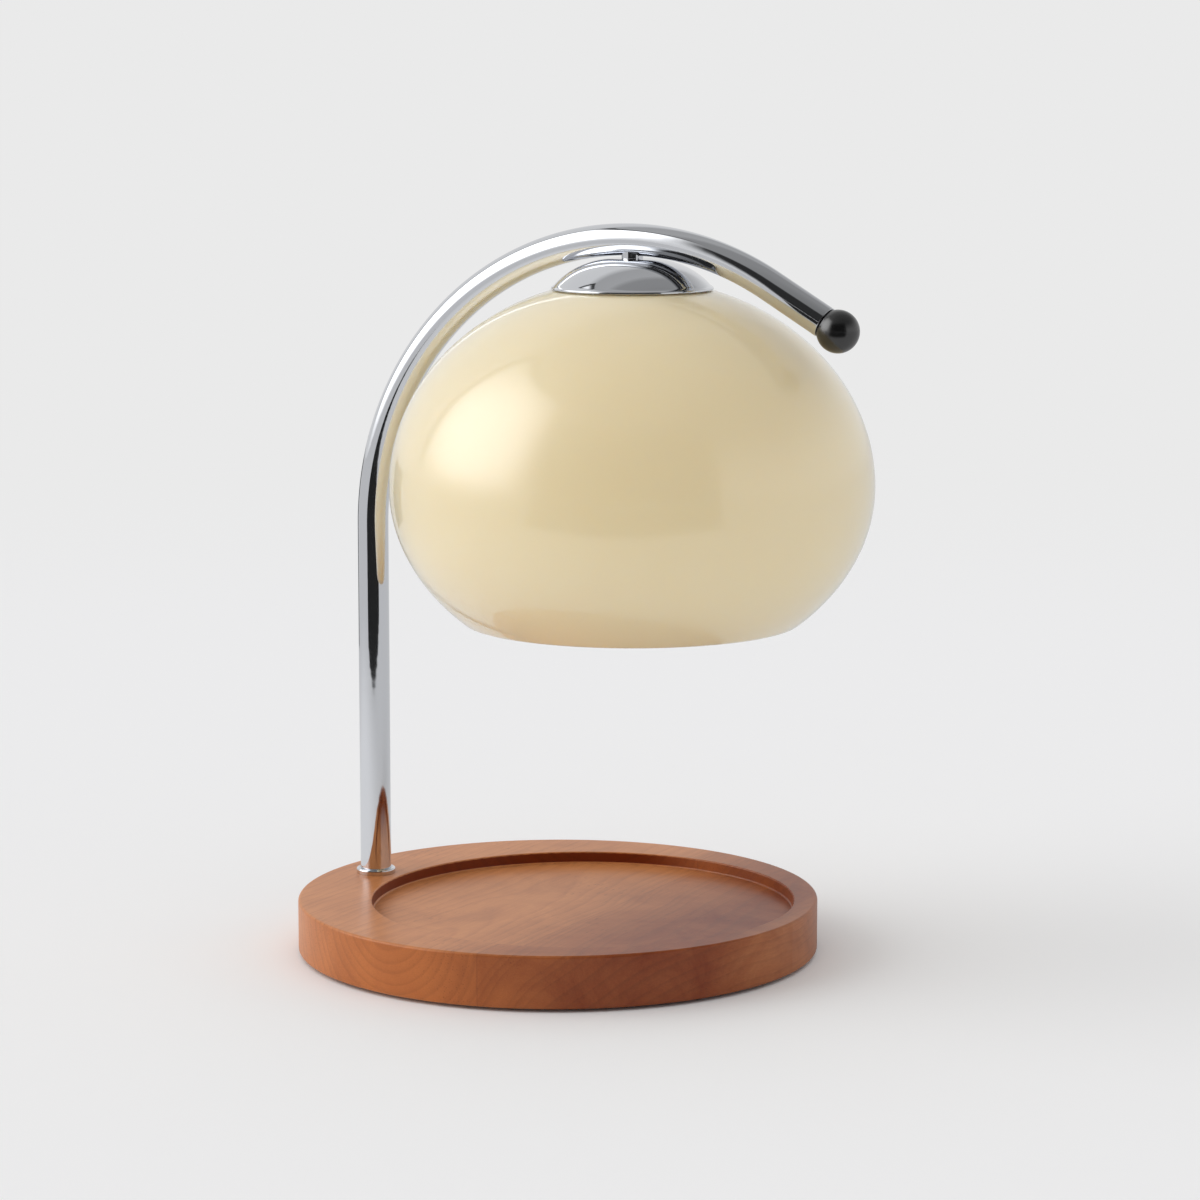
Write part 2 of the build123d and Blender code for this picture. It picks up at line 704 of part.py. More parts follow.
with BuildPart() as holder_bracket:
    with BuildSketch(side_plane):
        with Locations((0, bracket_top)):
            Rectangle(2 * leg_outside, bracket_leg, align=(Align.CENTER, Align.MAX))
        with Locations((0, bracket_top - bracket_thickness)):
            Rectangle(2 * leg_inside, bracket_leg, align=(Align.CENTER, Align.MAX), mode=Mode.SUBTRACT)
    extrude(amount=bracket_width / 2, both=True)
    bends = holder_bracket.edges().filter_by(Axis.X)
    fillet(bends.group_by(Axis.Z)[-1], bracket_bend_radius + bracket_thickness)
    fillet(bends.group_by(Axis.Z)[-2], bracket_bend_radius)
    with BuildSketch(at_shade(bracket_top)):
        Circle(nipple_radius + slip_gap)
    extrude(amount=-bracket_thickness, mode=Mode.SUBTRACT)
    with BuildSketch(Plane(origin=(shade_x, 0, side_screw_height), x_dir=(1, 0, 0), z_dir=(0, -1, 0))):
        Circle(side_screw_diameter / 2 + slip_gap)
    extrude(amount=leg_outside, both=True, mode=Mode.SUBTRACT)
holder_bracket.part.label = "holder_bracket"


def holder_outline():
    """Round outline of the lampholder with a flat for each leg of the bracket."""
    with BuildSketch(mode=Mode.PRIVATE) as outline:
        Circle(holder_diameter / 2)
        Rectangle(holder_diameter, holder_flats, mode=Mode.INTERSECT)
    return outline.sketch


rib_angle = 90 + twist_angle / 2
slot_paths = [CenterArc((0, 0), pin_circle_radius, angle, twist_angle) for angle in opposite_sides]

with BuildPart() as holder_body:
    with BuildSketch(at_shade(holder_face_height)):
        add(holder_outline())
    extrude(amount=holder_body_height)
    with BuildSketch(at_shade(plate_back)):
        Circle(holder_cavity_radius)
        Rectangle(2 * holder_cavity_radius, rib_thickness, rotation=rib_angle, mode=Mode.SUBTRACT)
    extrude(amount=holder_body_height - holder_plate, mode=Mode.SUBTRACT)
    # keyhole slots: the pins go in at the wide end and turn into the narrow end
    with BuildSketch(at_shade(holder_face_height)):
        for slot_path in slot_paths:
            SlotArc(slot_path, slot_width)
        with PolarLocations(pin_circle_radius, 2, start_angle=twist_angle):
            Circle(entry_diameter / 2)
    extrude(amount=holder_plate, mode=Mode.SUBTRACT)
holder_body.part.label = "holder_body"

with BuildPart() as holder_cap:
    with BuildSketch(at_shade(holder_body_top)):
        add(holder_outline())
    extrude(amount=holder_cap_height)
    with BuildSketch(at_shade(holder_body_top)):
        Circle(cap_cavity_radius)
    extrude(amount=cap_cavity_height, mode=Mode.SUBTRACT)
    with BuildSketch(at_shade(holder_cap_top)):
        Circle(cap_wire_hole_radius)
    extrude(amount=-holder_cap_height, mode=Mode.SUBTRACT)
    for side in (1, -1):
        screw_seat = Plane(
            origin=(shade_x, side * holder_flats / 2, side_screw_height),
            x_dir=(1, 0, 0),
            z_dir=(0, side, 0),
        )
        with BuildSketch(screw_seat):
            Circle(side_screw_diameter / 2 + slip_gap)
        extrude(amount=-side_screw_depth - seat_gap, mode=Mode.SUBTRACT)
holder_cap.part.label = "holder_cap"

with BuildPart() as holder_screws:
    for side in (1, -1):
        head_seat = Plane(
            origin=(shade_x, side * leg_outside, side_screw_height), x_dir=(1, 0, 0), z_dir=(0, side, 0)
        )
        with BuildSketch(head_seat):
            Circle(side_screw_head_diameter / 2)
        extrude(amount=side_screw_head)
        with BuildSketch(head_seat):
            Circle(side_screw_diameter / 2)
        extrude(amount=-side_screw_depth - bracket_thickness - slip_gap)
holder_screws.part.label = "holder_screws"

bulb_face_height = holder_face_height - bulb_face_gap
pin_neck_length = bulb_face_gap + holder_plate + pin_play
pin_head_bottom = bulb_face_height + pin_neck_length
pin_head_top = pin_head_bottom + pin_head_length
contact_bottom = pin_head_top + contact_gap
tab_angle = twist_angle / 2
tab_top = contact_bottom + contact_tab_height
contact_start = tab_angle - contact_sweep / 2
contact_paths = [
    CenterArc((0, 0), pin_circle_radius, angle + contact_start, contact_sweep) for angle in opposite_sides
]

with BuildPart() as holder_contacts:
    with BuildSketch(at_shade(contact_bottom)):
        for contact_path in contact_paths:
            SlotArc(contact_path, contact_width)
    extrude(amount=contact_thickness)
    with BuildSketch(at_shade(contact_bottom)):
        with PolarLocations(pin_circle_radius, 2, start_angle=tab_angle):
            Rectangle(contact_thickness, contact_tab_width)
    extrude(amount=contact_tab_height)
holder_contacts.part.label = "holder_contacts"

# ---------------------------------------------------------------- bulb
bulb_base_bottom = bulb_face_height - bulb_base_length
lens_rim_height = bulb_face_height - bulb_length
bulb_radius = bulb_diameter / 2
bulb_base_radius = bulb_base_diameter / 2
neck_radius = bulb_base_radius - bulb_glass
capsule_radius = capsule_diameter / 2
capsule_top = bulb_base_bottom + bulb_neck_depth + capsule_seat

with BuildPart() as bulb_base:
    with BuildSketch(at_shade(bulb_base_bottom)):
        Circle(bulb_base_radius)
    extrude(amount=bulb_base_length)
    chamfer(bulb_base.faces().sort_by(Axis.Z)[-1].edges(), bulb_base_chamfer)
    with BuildSketch(at_shade(bulb_base_bottom)):
        Circle(neck_radius + slip_gap)
    extrude(amount=bulb_neck_depth, mode=Mode.SUBTRACT)
    with BuildSketch(at_shade(bulb_base_bottom)):
        Circle(capsule_radius + slip_gap)
    extrude(amount=bulb_neck_depth + capsule_seat, mode=Mode.SUBTRACT)
    with BuildSketch(at_shade(bulb_face_height)):
        with PolarLocations(pin_circle_radius, 2):
            Circle(pin_neck_diameter / 2 + slip_gap)
    extrude(amount=-pin_shank_length, mode=Mode.SUBTRACT)
bulb_base.part.label = "bulb_base"

with BuildPart() as bulb_pins:
    with BuildSketch(at_shade(bulb_face_height - pin_shank_length)):
        with PolarLocations(pin_circle_radius, 2):
            Circle(pin_neck_diameter / 2)
    extrude(amount=pin_shank_length + pin_neck_length)
    with BuildSketch(at_shade(pin_head_bottom)):
        with PolarLocations(pin_circle_radius, 2):
            Circle(pin_head_diameter / 2)
    extrude(amount=pin_head_length)
    chamfer(bulb_pins.faces().filter_by(Axis.Z).group_by(Axis.Z)[-1].edges(), pin_head_chamfer)
bulb_pins.part.label = "bulb_pins"

rim_top = lens_rim_height + bulb_rim_height
bowl_height = bulb_base_bottom - rim_top
with BuildPart() as bulb_reflector:
    with BuildSketch(shade_plane):
        with BuildLine():
            outer_mid = (
                bulb_base_radius + (bulb_radius - bulb_base_radius) * bulb_bowl_fullness,
                rim_top + bowl_height * (1 - bulb_bowl_fullness) * 2,
            )
            inner_mid = (outer_mid[0] - bulb_glass, outer_mid[1] - bulb_glass / 2)
            neck_inner = neck_radius - bulb_glass
            outer_bowl_arc = ThreePointArc(
                (bulb_base_radius, bulb_base_bottom), outer_mid, (bulb_radius, rim_top)
            )
            inner_bowl_line = ThreePointArc(
                (neck_inner, bulb_base_bottom - bulb_glass), inner_mid, (bulb_radius - bulb_glass, rim_top)
            )
            Polyline(
                outer_bowl_arc @ 0,
                (neck_radius, bulb_base_bottom),
                (neck_radius, bulb_base_bottom + bulb_neck_depth),
                (neck_inner, bulb_base_bottom + bulb_neck_depth),
                inner_bowl_line @ 0,
            )
            Polyline(
                outer_bowl_arc @ 1,
                (bulb_radius, lens_rim_height),
                (bulb_radius - bulb_glass, lens_rim_height),
                inner_bowl_line @ 1,
            )
        make_face()
    revolve(axis=shade_axis)
bulb_reflector.part.label = "bulb_reflector"

with BuildPart() as bulb_lens:
    with BuildSketch(at_shade(lens_rim_height + lens_seat)):
        Circle(bulb_radius - bulb_glass - slip_gap)
    extrude(amount=lens_thickness)
bulb_lens.part.label = "bulb_lens"

with BuildPart() as bulb_capsule:
    with BuildSketch(at_shade(capsule_top - slip_gap)):
        Circle(capsule_radius)
    extrude(amount=-capsule_length)
    capsule_tip = bulb_capsule.edges().filter_by(GeomType.CIRCLE).sort_by(Axis.Z)[0]
    fillet(capsule_tip, capsule_radius * capsule_tip_roundness)
bulb_capsule.part.label = "bulb_capsule"

# ---------------------------------------------------------------- lead inside the lamp
sheath_start = Vector(block_x, block_y - block_length / 2 - lead_start, lead_height)
pole_foot = Vector(pole_x, 0, lead_height)
drop_centre_x = shade_x - lead_drop_radius
drop_centre_z = bend_start_height + sqrt((bend_radius - lead_drop_radius) ** 2 - lead_drop_radius**2)
away_from_centre = Vector(drop_centre_x - shade_x, 0, drop_centre_z - bend_start_height).normalized()
drop_start = Vector(shade_x, 0, bend_start_height) + away_from_centre * bend_radius
sheath_end_height = holder_body_top + cap_cavity_height - seat_gap

with BuildPart() as lamp_lead:
    with BuildLine() as lead_path:
        FilletPolyline(
            sheath_start,
            (block_x, 0, lead_height),
            pole_foot,
            (pole_x, 0, bend_start_height),
            radius=[lead_corner_radius, lead_foot_radius],
        )
        TangentArc((pole_x, 0, bend_start_height), drop_start, tangent=(0, 0, 1))
        drop_direction = Vector(away_from_centre.Z, 0, -away_from_centre.X)
        TangentArc(drop_start, (shade_x, 0, drop_centre_z), tangent=drop_direction)
        Line((shade_x, 0, drop_centre_z), (shade_x, 0, sheath_end_height))
    with BuildSketch(Plane(origin=sheath_start, x_dir=(1, 0, 0), z_dir=(0, -1, 0))):
        Circle(lead_diameter / 2)
    sweep(path=lead_path.wire())
lamp_lead.part.label = "lamp_lead"

lead_length = lead_path.wire().length
print(f"lamp_lead length {lead_length:.1f} mm, volume / (section x length) "
      f"{lamp_lead.part.volume / (pi * (lead_diameter / 2) ** 2 * lead_length):.4f}")

with BuildPart() as block_cores:
    for side in (1, -1):
        near = side * core_spacing / 2
        far = side * block_pole_pitch / 2
        block_face_y = block_y - block_length / 2
        with BuildLine() as core_path:
            FilletPolyline(
                (block_x + near, sheath_start.Y, lead_height),
                (block_x + near, sheath_start.Y + core_diameter, lead_height),
                (block_x + far, block_face_y, lead_height),
                (block_x + far, block_face_y + core_reach, lead_height),
                radius=core_corner_radius,
            )
        with BuildSketch(
            Plane(origin=(block_x + near, sheath_start.Y, lead_height), x_dir=(1, 0, 0), z_dir=(0, 1, 0))
        ):
            Circle(core_radius)
        sweep(path=core_path.wire())
block_cores.part.label = "block_cores"

with BuildPart() as holder_cores:
    for side in (1, -1):
        outward = Vector(cos(radians(tab_angle)), sin(radians(tab_angle)), 0) * side
        core_top = Vector(shade_x, 0, sheath_end_height) + outward * core_spacing / 2
        core_foot = Vector(shade_x, 0, tab_top) + outward * pin_circle_radius
        with BuildLine() as core_path:
            FilletPolyline(
                core_top,
                core_top - Vector(0, 0, core_diameter),
                core_foot + Vector(0, 0, core_diameter),
                core_foot,
                radius=core_tail_radius,
            )
        with BuildSketch(Plane(origin=core_top, x_dir=outward, z_dir=(0, 0, -1))):
            Circle(core_radius)
        sweep(path=core_path.wire())
holder_cores.part.label = "holder_cores"

# ---------------------------------------------------------------- write every piece
pieces = [
    wooden_base.part,
    base_pad.part,
    base_cover.part,
    cover_screws.part,
    inlet_grommet.part,
    terminal_block.part,
    terminal_screws.part,
    block_screw.part,
    stem_tube.part,
    tube_collar.part,
    foot_bush,
    base_nipple,
    base_washer,
    base_lock_washer,
    base_nut,
    ball_finial.part,
    end_plug.part,
    ball_stud.part,
    glass_shade.part,
    canopy.part,
    upper_gasket.part,
    lower_gasket,
    clamp_plate.part,
    shade_lock_washer,
    clamp_nut,
    bracket_nut,
    shade_nipple,
    holder_bracket.part,
    holder_body.part,
    holder_cap.part,
    holder_screws.part,
    holder_contacts.part,
    bulb_base.part,
    bulb_pins.part,
    bulb_reflector.part,
    bulb_lens.part,
    bulb_capsule.part,
    lamp_lead.part,
    block_cores.part,
    holder_cores.part,
]
for piece in pieces:
    export_step(piece, f"parts/{piece.label}.step")
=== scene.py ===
"""Looks of a candle warmer lamp: stained board, bent chrome tube, cream glass shade, black ball.

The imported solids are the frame. Everything is in metres in their axes: +Z is up, and the arm runs
along +X from the upright to the ball. Sizes inside the operators are in millimetres, which MM
turns to metres.
"""

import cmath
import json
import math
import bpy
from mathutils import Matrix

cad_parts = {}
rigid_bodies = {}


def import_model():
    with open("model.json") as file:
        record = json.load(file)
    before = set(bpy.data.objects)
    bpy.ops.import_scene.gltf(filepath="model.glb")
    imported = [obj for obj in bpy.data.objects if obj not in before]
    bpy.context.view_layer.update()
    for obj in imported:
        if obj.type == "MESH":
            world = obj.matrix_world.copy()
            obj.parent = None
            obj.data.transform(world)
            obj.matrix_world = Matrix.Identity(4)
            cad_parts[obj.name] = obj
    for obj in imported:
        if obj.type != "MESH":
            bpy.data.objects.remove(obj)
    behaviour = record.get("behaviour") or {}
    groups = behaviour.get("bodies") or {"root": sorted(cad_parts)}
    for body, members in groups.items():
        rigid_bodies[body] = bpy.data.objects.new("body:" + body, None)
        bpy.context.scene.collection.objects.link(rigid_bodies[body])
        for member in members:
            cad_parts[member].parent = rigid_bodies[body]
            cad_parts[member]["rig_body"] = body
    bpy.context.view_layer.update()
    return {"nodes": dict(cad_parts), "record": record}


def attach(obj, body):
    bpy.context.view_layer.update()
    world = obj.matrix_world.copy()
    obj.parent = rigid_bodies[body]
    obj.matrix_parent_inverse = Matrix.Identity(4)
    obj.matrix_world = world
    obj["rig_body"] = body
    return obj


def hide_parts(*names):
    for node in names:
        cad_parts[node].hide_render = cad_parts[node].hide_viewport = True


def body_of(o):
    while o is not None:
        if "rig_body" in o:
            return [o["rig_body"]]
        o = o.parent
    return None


bl_info = {
    "name": "Candle Warmer Lamp",
    "version": (1, 0, 0),
    "blender": (4, 5, 0),
    "location": "3D View > Sidebar > Candle Lamp",
    "description": "Board, chrome arm, glass shade, bulb and studio of a candle warmer lamp",
    "category": "Add Mesh",
}

from functools import partial

import bmesh
import bpy
from bpy.props import FloatProperty, FloatVectorProperty, IntProperty, PointerProperty
from mathutils import Vector

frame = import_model()
SLOT_OF = {part["node"]: part["material_slot"] for part in frame["record"]["subparts"]}

MM = 0.001
WELD = 1e-6  # m, points nearer than this are one
NEAR = 0.01  # mm, within which a point counts as on a face
GAP = 0.05  # mm, between pieces that only touch
BOARD_RADIUS = 100.0  # mm
WOOD_TOP = 21.1  # mm, top of the board's rim
POLE_X = -82.0  # mm, axis of the upright
SHADE_X = 32.0  # mm, axis of the shade and the bulb
BEND_HEIGHT = 160.0  # mm, where the upright starts to bend
SHADE_WIDEST = 181.7  # mm, height of the shade's widest line
CANOPY_TOP = 266.6  # mm, height of its flat top
INLET_BEARING = math.radians(149.99)  # the cable inlet in the board's edge
INLET_HEIGHT = 8.0  # mm
TO_CAMERA = (0.469, -0.883)  # level direction from the lamp to the camera
TO_RIGHT = (0.883, 0.469)  # level direction to the camera's right
TO_KEY = (-0.748, -0.488, 0.45)  # direction to the middle of the key light
KEY_WIDTH = 60.0  # degrees, how wide the key light is seen from the lamp
CAMERA_PLACE = (0.70106, -1.28394, 0.35892)  # m
CAMERA_TURN = (81.331, 0.0, 28.0)  # degrees about X, Y and Z
CAMERA_LENS = 116.33  # mm, on a sensor 36 mm wide
BACKDROP_SEEN = 0.823  # linear value of the pale backdrop


# ---------- small helpers


def colour(code):
    """A linear red, green and blue from an sRGB hex value such as #C08A5A."""
    parts = [int(code[i : i + 2], 16) / 255 for i in (1, 3, 5)]
    return tuple(c / 12.92 if c <= 0.04045 else ((c + 0.055) / 1.055) ** 2.4 for c in parts)


def deselect_all():
    """Leaves edit mode and leaves nothing selected."""
    if bpy.context.object and bpy.context.object.mode != "OBJECT":
        bpy.ops.object.mode_set(mode="OBJECT")
    bpy.ops.object.select_all(action="DESELECT")


def take(piece):
    """Makes one piece the only selected and the active one."""
    deselect_all()
    piece.select_set(True)
    bpy.context.view_layer.objects.active = piece


def begin_shaping(name):
    """Names the primitive just added, sets its place into its mesh and opens it for editing."""
    piece = bpy.context.object
    piece.name = piece.data.name = name
    bpy.ops.object.transform_apply(location=True, rotation=True, scale=True)
    bpy.ops.object.mode_set(mode="EDIT")
    bpy.ops.mesh.select_mode(type="VERT")
    return piece


def pick(piece, kind, test):
    """Selects, in edit mode, the edges whose ends or the faces whose middle pass a test in mm."""
    bpy.ops.mesh.select_mode(type={"edges": "EDGE", "faces": "FACE"}[kind])
    bpy.ops.mesh.select_all(action="DESELECT")
    shape = bmesh.from_edit_mesh(piece.data)
    found = 0
    for part in getattr(shape, kind):
        if kind == "edges":
            passes = all(test(v.co / MM) for v in part.verts)
        else:
            passes = test(part.calc_center_median() / MM)
        part.select_set(passes)
        found += passes
    shape.select_flush_mode()
    bmesh.update_edit_mesh(piece.data)
    if not found:
        raise RuntimeError(f"nothing to pick on {piece.name}")


def round_rim(piece, test, radius):
    """Rounds the edges round the faces whose middle passes a test, by a radius in mm."""
    take(piece)
    bpy.ops.object.mode_set(mode="EDIT")
    pick(piece, "faces", test)
    bpy.ops.mesh.region_to_loop()
    bpy.ops.mesh.bevel(offset=radius * MM, offset_type="OFFSET", segments=4, affect="EDGES")
    bpy.ops.object.mode_set(mode="OBJECT")


def apply_modifier(piece, kind, **settings):
    """Adds a modifier with its settings and applies it."""
    take(piece)
    bpy.ops.object.modifier_add(type=kind)
    modifier = piece.modifiers[-1]
    for name, value in settings.items():
        setattr(modifier, name, value)
    bpy.ops.object.modifier_apply(modifier=modifier.name)


def smooth(piece, angle):
    """Smooth shading with crisp edges where faces meet at more than the angle, in degrees."""
    take(piece)
    bpy.ops.object.shade_smooth_by_angle(angle=math.radians(angle))


def arc(centre, radii, start, end, steps):
    """Points in mm along an arc of an ellipse, angles in degrees from the radial direction up."""
    points = []
    for i in range(steps + 1):
        a = math.radians(start + (end - start) * i / steps)
        points.append((centre[0] + radii[0] * math.cos(a), centre[1] + radii[1] * math.sin(a)))
    return points


def arc_through(start, middle, end, steps):
    """Points in mm along the circle through three points, from the first to the last."""
    a, b, c = (complex(*point) for point in (start, middle, end))
    skew = (c - a) / (b - a)
    centre = a - (b - a) * (skew - abs(skew) ** 2) / (2j * skew.imag)
    turn = cmath.phase((c - centre) / (a - centre))
    spokes = (centre + (a - centre) * cmath.rect(1, turn * i / steps) for i in range(steps + 1))
    return [(point.real, point.imag) for point in spokes]


def weld(distance=WELD):
    """Makes one point of the points that lie together in the open piece, and selects it all."""
    bpy.ops.mesh.select_all(action="SELECT")
    bpy.ops.mesh.remove_doubles(threshold=distance)
    bpy.ops.mesh.select_all(action="SELECT")


def turned(name, profile, axis_x=0.0, steps=96, closed=False, inside=False):
    """A turned piece: one point is drawn out along (radius, height) pairs in mm, then spun round.

    A closed profile ends where it starts. A piece turned inside faces its own axis.
    """
    outline = list(profile) + ([profile[0]] if closed else [])
    deselect_all()
    at = ((axis_x + outline[0][0]) * MM, 0.0, outline[0][1] * MM)
    bpy.ops.mesh.primitive_plane_add(size=0.0005, location=at)
    piece = begin_shaping(name)
    bpy.ops.mesh.select_all(action="SELECT")
    bpy.ops.mesh.merge(type="CENTER")
    for here, there in zip(outline, outline[1:]):
        step = ((there[0] - here[0]) * MM, 0.0, (there[1] - here[1]) * MM)
        bpy.ops.mesh.extrude_vertices_move(TRANSFORM_OT_translate={"value": step})
    weld()
    centre = (axis_x * MM, 0.0, 0.0)
    bpy.ops.mesh.spin(steps=steps, angle=2 * math.pi, center=centre, axis=(0, 0, 1))
    weld(2 * WELD)
    bpy.ops.mesh.normals_make_consistent(inside=inside)
    bpy.ops.object.mode_set(mode="OBJECT")
    return piece


def point_along(piece, spot, direction):
    """Turns a piece made along +Z to a direction, moves it to a spot in mm and sets both in."""
    take(piece)
    piece.rotation_euler = Vector(direction).to_track_quat("Z", "Y").to_euler()
    piece.location = Vector(spot) * MM
    bpy.ops.object.transform_apply(location=True, rotation=True, scale=True)


def off_shade_axis(point):
    """How far a point in mm is from the axis of the shade and the bulb."""
    return math.hypot(point.x - SHADE_X, point.y)


def joined(name, pieces):
    """One piece of several."""
    take(pieces[0])
    for piece in pieces[1:]:
        piece.select_set(True)
    bpy.ops.object.join()
    pieces[0].name = pieces[0].data.name = name
    return pieces[0]


def bridge(piece, test):
    """Bridges the two open rims whose ends pass a test."""
    take(piece)
    bpy.ops.object.mode_set(mode="EDIT")
    pick(piece, "edges", test)
    bpy.ops.mesh.bridge_edge_loops()
    bpy.ops.object.mode_set(mode="OBJECT")


# ---------- material helpers


def add_node(tree, kind, inputs=None, **settings):
    """Adds a node with its settings and inputs; stops are a ramp's (place, grey) pairs.

    An input that is a node or a socket is linked, and a node gives its first output. Any other
    value is set on the socket, a colour as red, green and blue.
    """
    node = tree.nodes.new("ShaderNode" + kind)
    stops = settings.pop("stops", ())
    for name, value in settings.items():
        setattr(node, name, value)
    for place, _ in stops[1:-1]:
        node.color_ramp.elements.new(place)
    for i, (place, grey) in enumerate(stops):
        element = node.color_ramp.elements[i]
        element.position, element.color = place, (grey, grey, grey, 1.0)
    for name, value in (inputs or {}).items():
        socket = node.inputs[name]
        if isinstance(value, bpy.types.Node):
            value = next(output for output in value.outputs if output.enabled)
        if isinstance(value, bpy.types.NodeSocket):
            tree.links.new(value, socket)
        elif socket.type == "RGBA":
            socket.default_value = (*value, 1.0)
        else:
            socket.default_value = value
    return node


def emptied(owner):
    """Clears the nodes of a material or a world and gives add_node for its own tree."""
    owner.use_nodes = True
    owner.node_tree.nodes.clear()
    return partial(add_node, owner.node_tree)


def within(add, limits):
    """A node that is 1 inside all the limits: (value, where it is still outside, where inside)."""
    mask = 1.0
    for value, outside, inside in limits:
        edge = add(
            "MapRange", {"Value": value, "From Min": outside, "From Max": inside},
            interpolation_type="SMOOTHSTEP",
        )
        mask = add("Math", {0: mask, 1: edge}, operation="MULTIPLY")
    return mask


# ---------- finishes


def stained_hardwood(add):
    """Two hardwood strips glued side by side, turned, stained brown and sprayed with satin lacquer.

    The fibre runs along Y. The front and back of the rim are end grain with arcs of growth rings,
    the sides and the top are long grain with fine dark pores. The lacquer adds a blurred gloss.
    Painted light and shade: the left is paler, and the right, the end grain and the recess's back-left
    wall are darker.
    """
    look = bpy.context.scene.lamp_colours
    place = add("TexCoord").outputs["Object"]
    sway = add("TexNoise", {"Vector": place, "Scale": 14.0})
    bend = add(
        "VectorMath", {0: sway.outputs["Color"], 1: (0.012, 0.0, 0.012), 2: place},
        operation="MULTIPLY_ADD",
    )
    axes = add("SeparateXYZ", {0: bend})
    flat = add("SeparateXYZ", {0: place})
    # strips 120 mm wide, a glue line at x = 20 mm, growth rings 4 mm apart
    strip_width, glue_line, ring_width = 0.12, 0.02, 0.004
    shifted = add("Math", {0: flat.outputs["X"], 1: glue_line}, operation="SUBTRACT")
    counted = add("Math", {0: shifted, 1: strip_width}, operation="DIVIDE")
    strip = add("Math", {0: counted}, operation="FLOOR")
    turn = add("Math", {0: strip, 1: 2.0}, operation="FLOORED_MODULO")
    # the heart of each strip lies above or below the board in turn, and rises towards the back
    heart_right, heart_low, heart_step, heart_slope = 0.108, -0.04, 0.082, 0.07
    heart_x = add("Math", {0: strip, 1: strip_width, 2: heart_right}, operation="MULTIPLY_ADD")
    heart_z = add("Math", {0: turn, 1: heart_step, 2: heart_low}, operation="MULTIPLY_ADD")
    lean = add("Math", {0: flat.outputs["Y"], 1: heart_slope, 2: heart_z}, operation="MULTIPLY_ADD")
    across = add("Math", {0: axes.outputs["X"], 1: heart_x}, operation="SUBTRACT")
    up = add("Math", {0: axes.outputs["Z"], 1: lean}, operation="SUBTRACT")
    spoke = add("CombineXYZ", {"X": across, "Z": up})
    reach = add("VectorMath", {0: spoke}, operation="LENGTH")
    years = add("Math", {0: reach, 1: ring_width}, operation="DIVIDE")
    uneven = add("TexNoise", {"W": years, "Scale": 0.6, "Detail": 1.0}, noise_dimensions="1D")
    aged = add("Math", {0: uneven, 1: 1.6, 2: years}, operation="MULTIPLY_ADD")
    ring = add("Math", {0: aged}, operation="FRACT")
    grain = add("ValToRGB", {"Fac": ring}, stops=[(0.0, 0.58), (0.45, 0.5), (0.84, 0.28), (1.0, 0.56)])
    # fibres 0.5 mm wide and 25 mm long
    along = add("Mapping", {"Vector": place, "Scale": (2000.0, 40.0, 2000.0)})
    fibre = add("TexNoise", {"Vector": along, "Scale": 1.0, "Detail": 3.0, "Roughness": 0.6})
    # pores 0.15 mm wide in the wood, drawn 0.3 mm wide so that they show
    pore_place = add("Mapping", {"Vector": place, "Scale": (900.0, 130.0, 900.0)})
    pore = add("TexVoronoi", {"Vector": pore_place, "Scale": 1.0})
    pore_mask = add(
        "MapRange", {"Value": pore, "From Min": 0.1, "From Max": 0.26, "To Min": 0.45, "To Max": 0.0},
        interpolation_type="SMOOTHSTEP",
    )
    clump = add("TexNoise", {"Vector": place, "Scale": 38.0})
    clumped = add("MapRange", {"Value": clump, "From Min": 0.48, "From Max": 0.68})
    pores = add("Math", {0: pore_mask, 1: clumped}, operation="MULTIPLY")
    # how deep the stain went, partly painted light and shade: pale on the left, deep right of the glue
    # line, fading at the right
    spread = add("MapRange", {"Value": flat.outputs["X"], "From Min": -0.1, "From Max": 0.1})
    depth = add(
        "ValToRGB", {"Fac": spread},
        stops=[
            (0.0, 0.0), (0.5, 0.0), (0.595, 0.15), (0.605, 0.25), (0.82, 0.58), (0.94, 0.58), (1.0, 0.34),
        ],
    )
    cloud = add(
        "TexNoise", {"Vector": place, "Scale": 30.0, "Detail": 5.0, "Roughness": 0.68, "Distortion": 0.6}
    )
    clouded = add("Math", {0: cloud, 1: 0.6, 2: depth}, operation="MULTIPLY_ADD", use_clamp=True)
    facing = add("NewGeometry")
    fronts = add("SeparateXYZ", {0: facing.outputs["True Normal"]})
    # painted shade: the recess's wall is darkened to the deepest stain where the face stands up, inside
    # the rim, and left of the middle
    tilt = add("Math", {0: fronts.outputs["Z"]}, operation="ABSOLUTE")
    level = add("VectorMath", {0: place, 1: (1.0, 1.0, 0.0)}, operation="MULTIPLY")
    radius = add("VectorMath", {0: level}, operation="LENGTH")
    painted_recess_shade = within(add, ((tilt, 0.5, 0.2), (radius, 0.097, 0.096), (flat.outputs["X"], 0.055, -0.01)))
    # the painted shade of the recess wall joins the stain here
    stained = add("Math", {0: clouded, 1: painted_recess_shade}, operation="MAXIMUM")
    light_wood = add(
        "Mix", {"Factor": stained, "A": look.wood_light, "B": look.wood_red}, data_type="RGBA"
    )
    # end grain drinks more stain, and painted shade darkens it further: the rim is darker where it faces
    # along the fibre
    end_grain_and_shade = add("Math", {0: fronts.outputs["Y"], 1: 2.0}, operation="POWER")
    soaked_and_shaded = add(
        "Mix", {"Factor": end_grain_and_shade, "A": light_wood, "B": look.end_grain_and_shade_tone}, data_type="RGBA",
        blend_type="MULTIPLY",
    )
    figured = soaked_and_shaded
    for share, layer in ((0.24, grain), (0.22, fibre)):
        layers = {"Factor": share, "A": figured, "B": layer}
        figured = add("Mix", layers, data_type="RGBA", blend_type="OVERLAY")
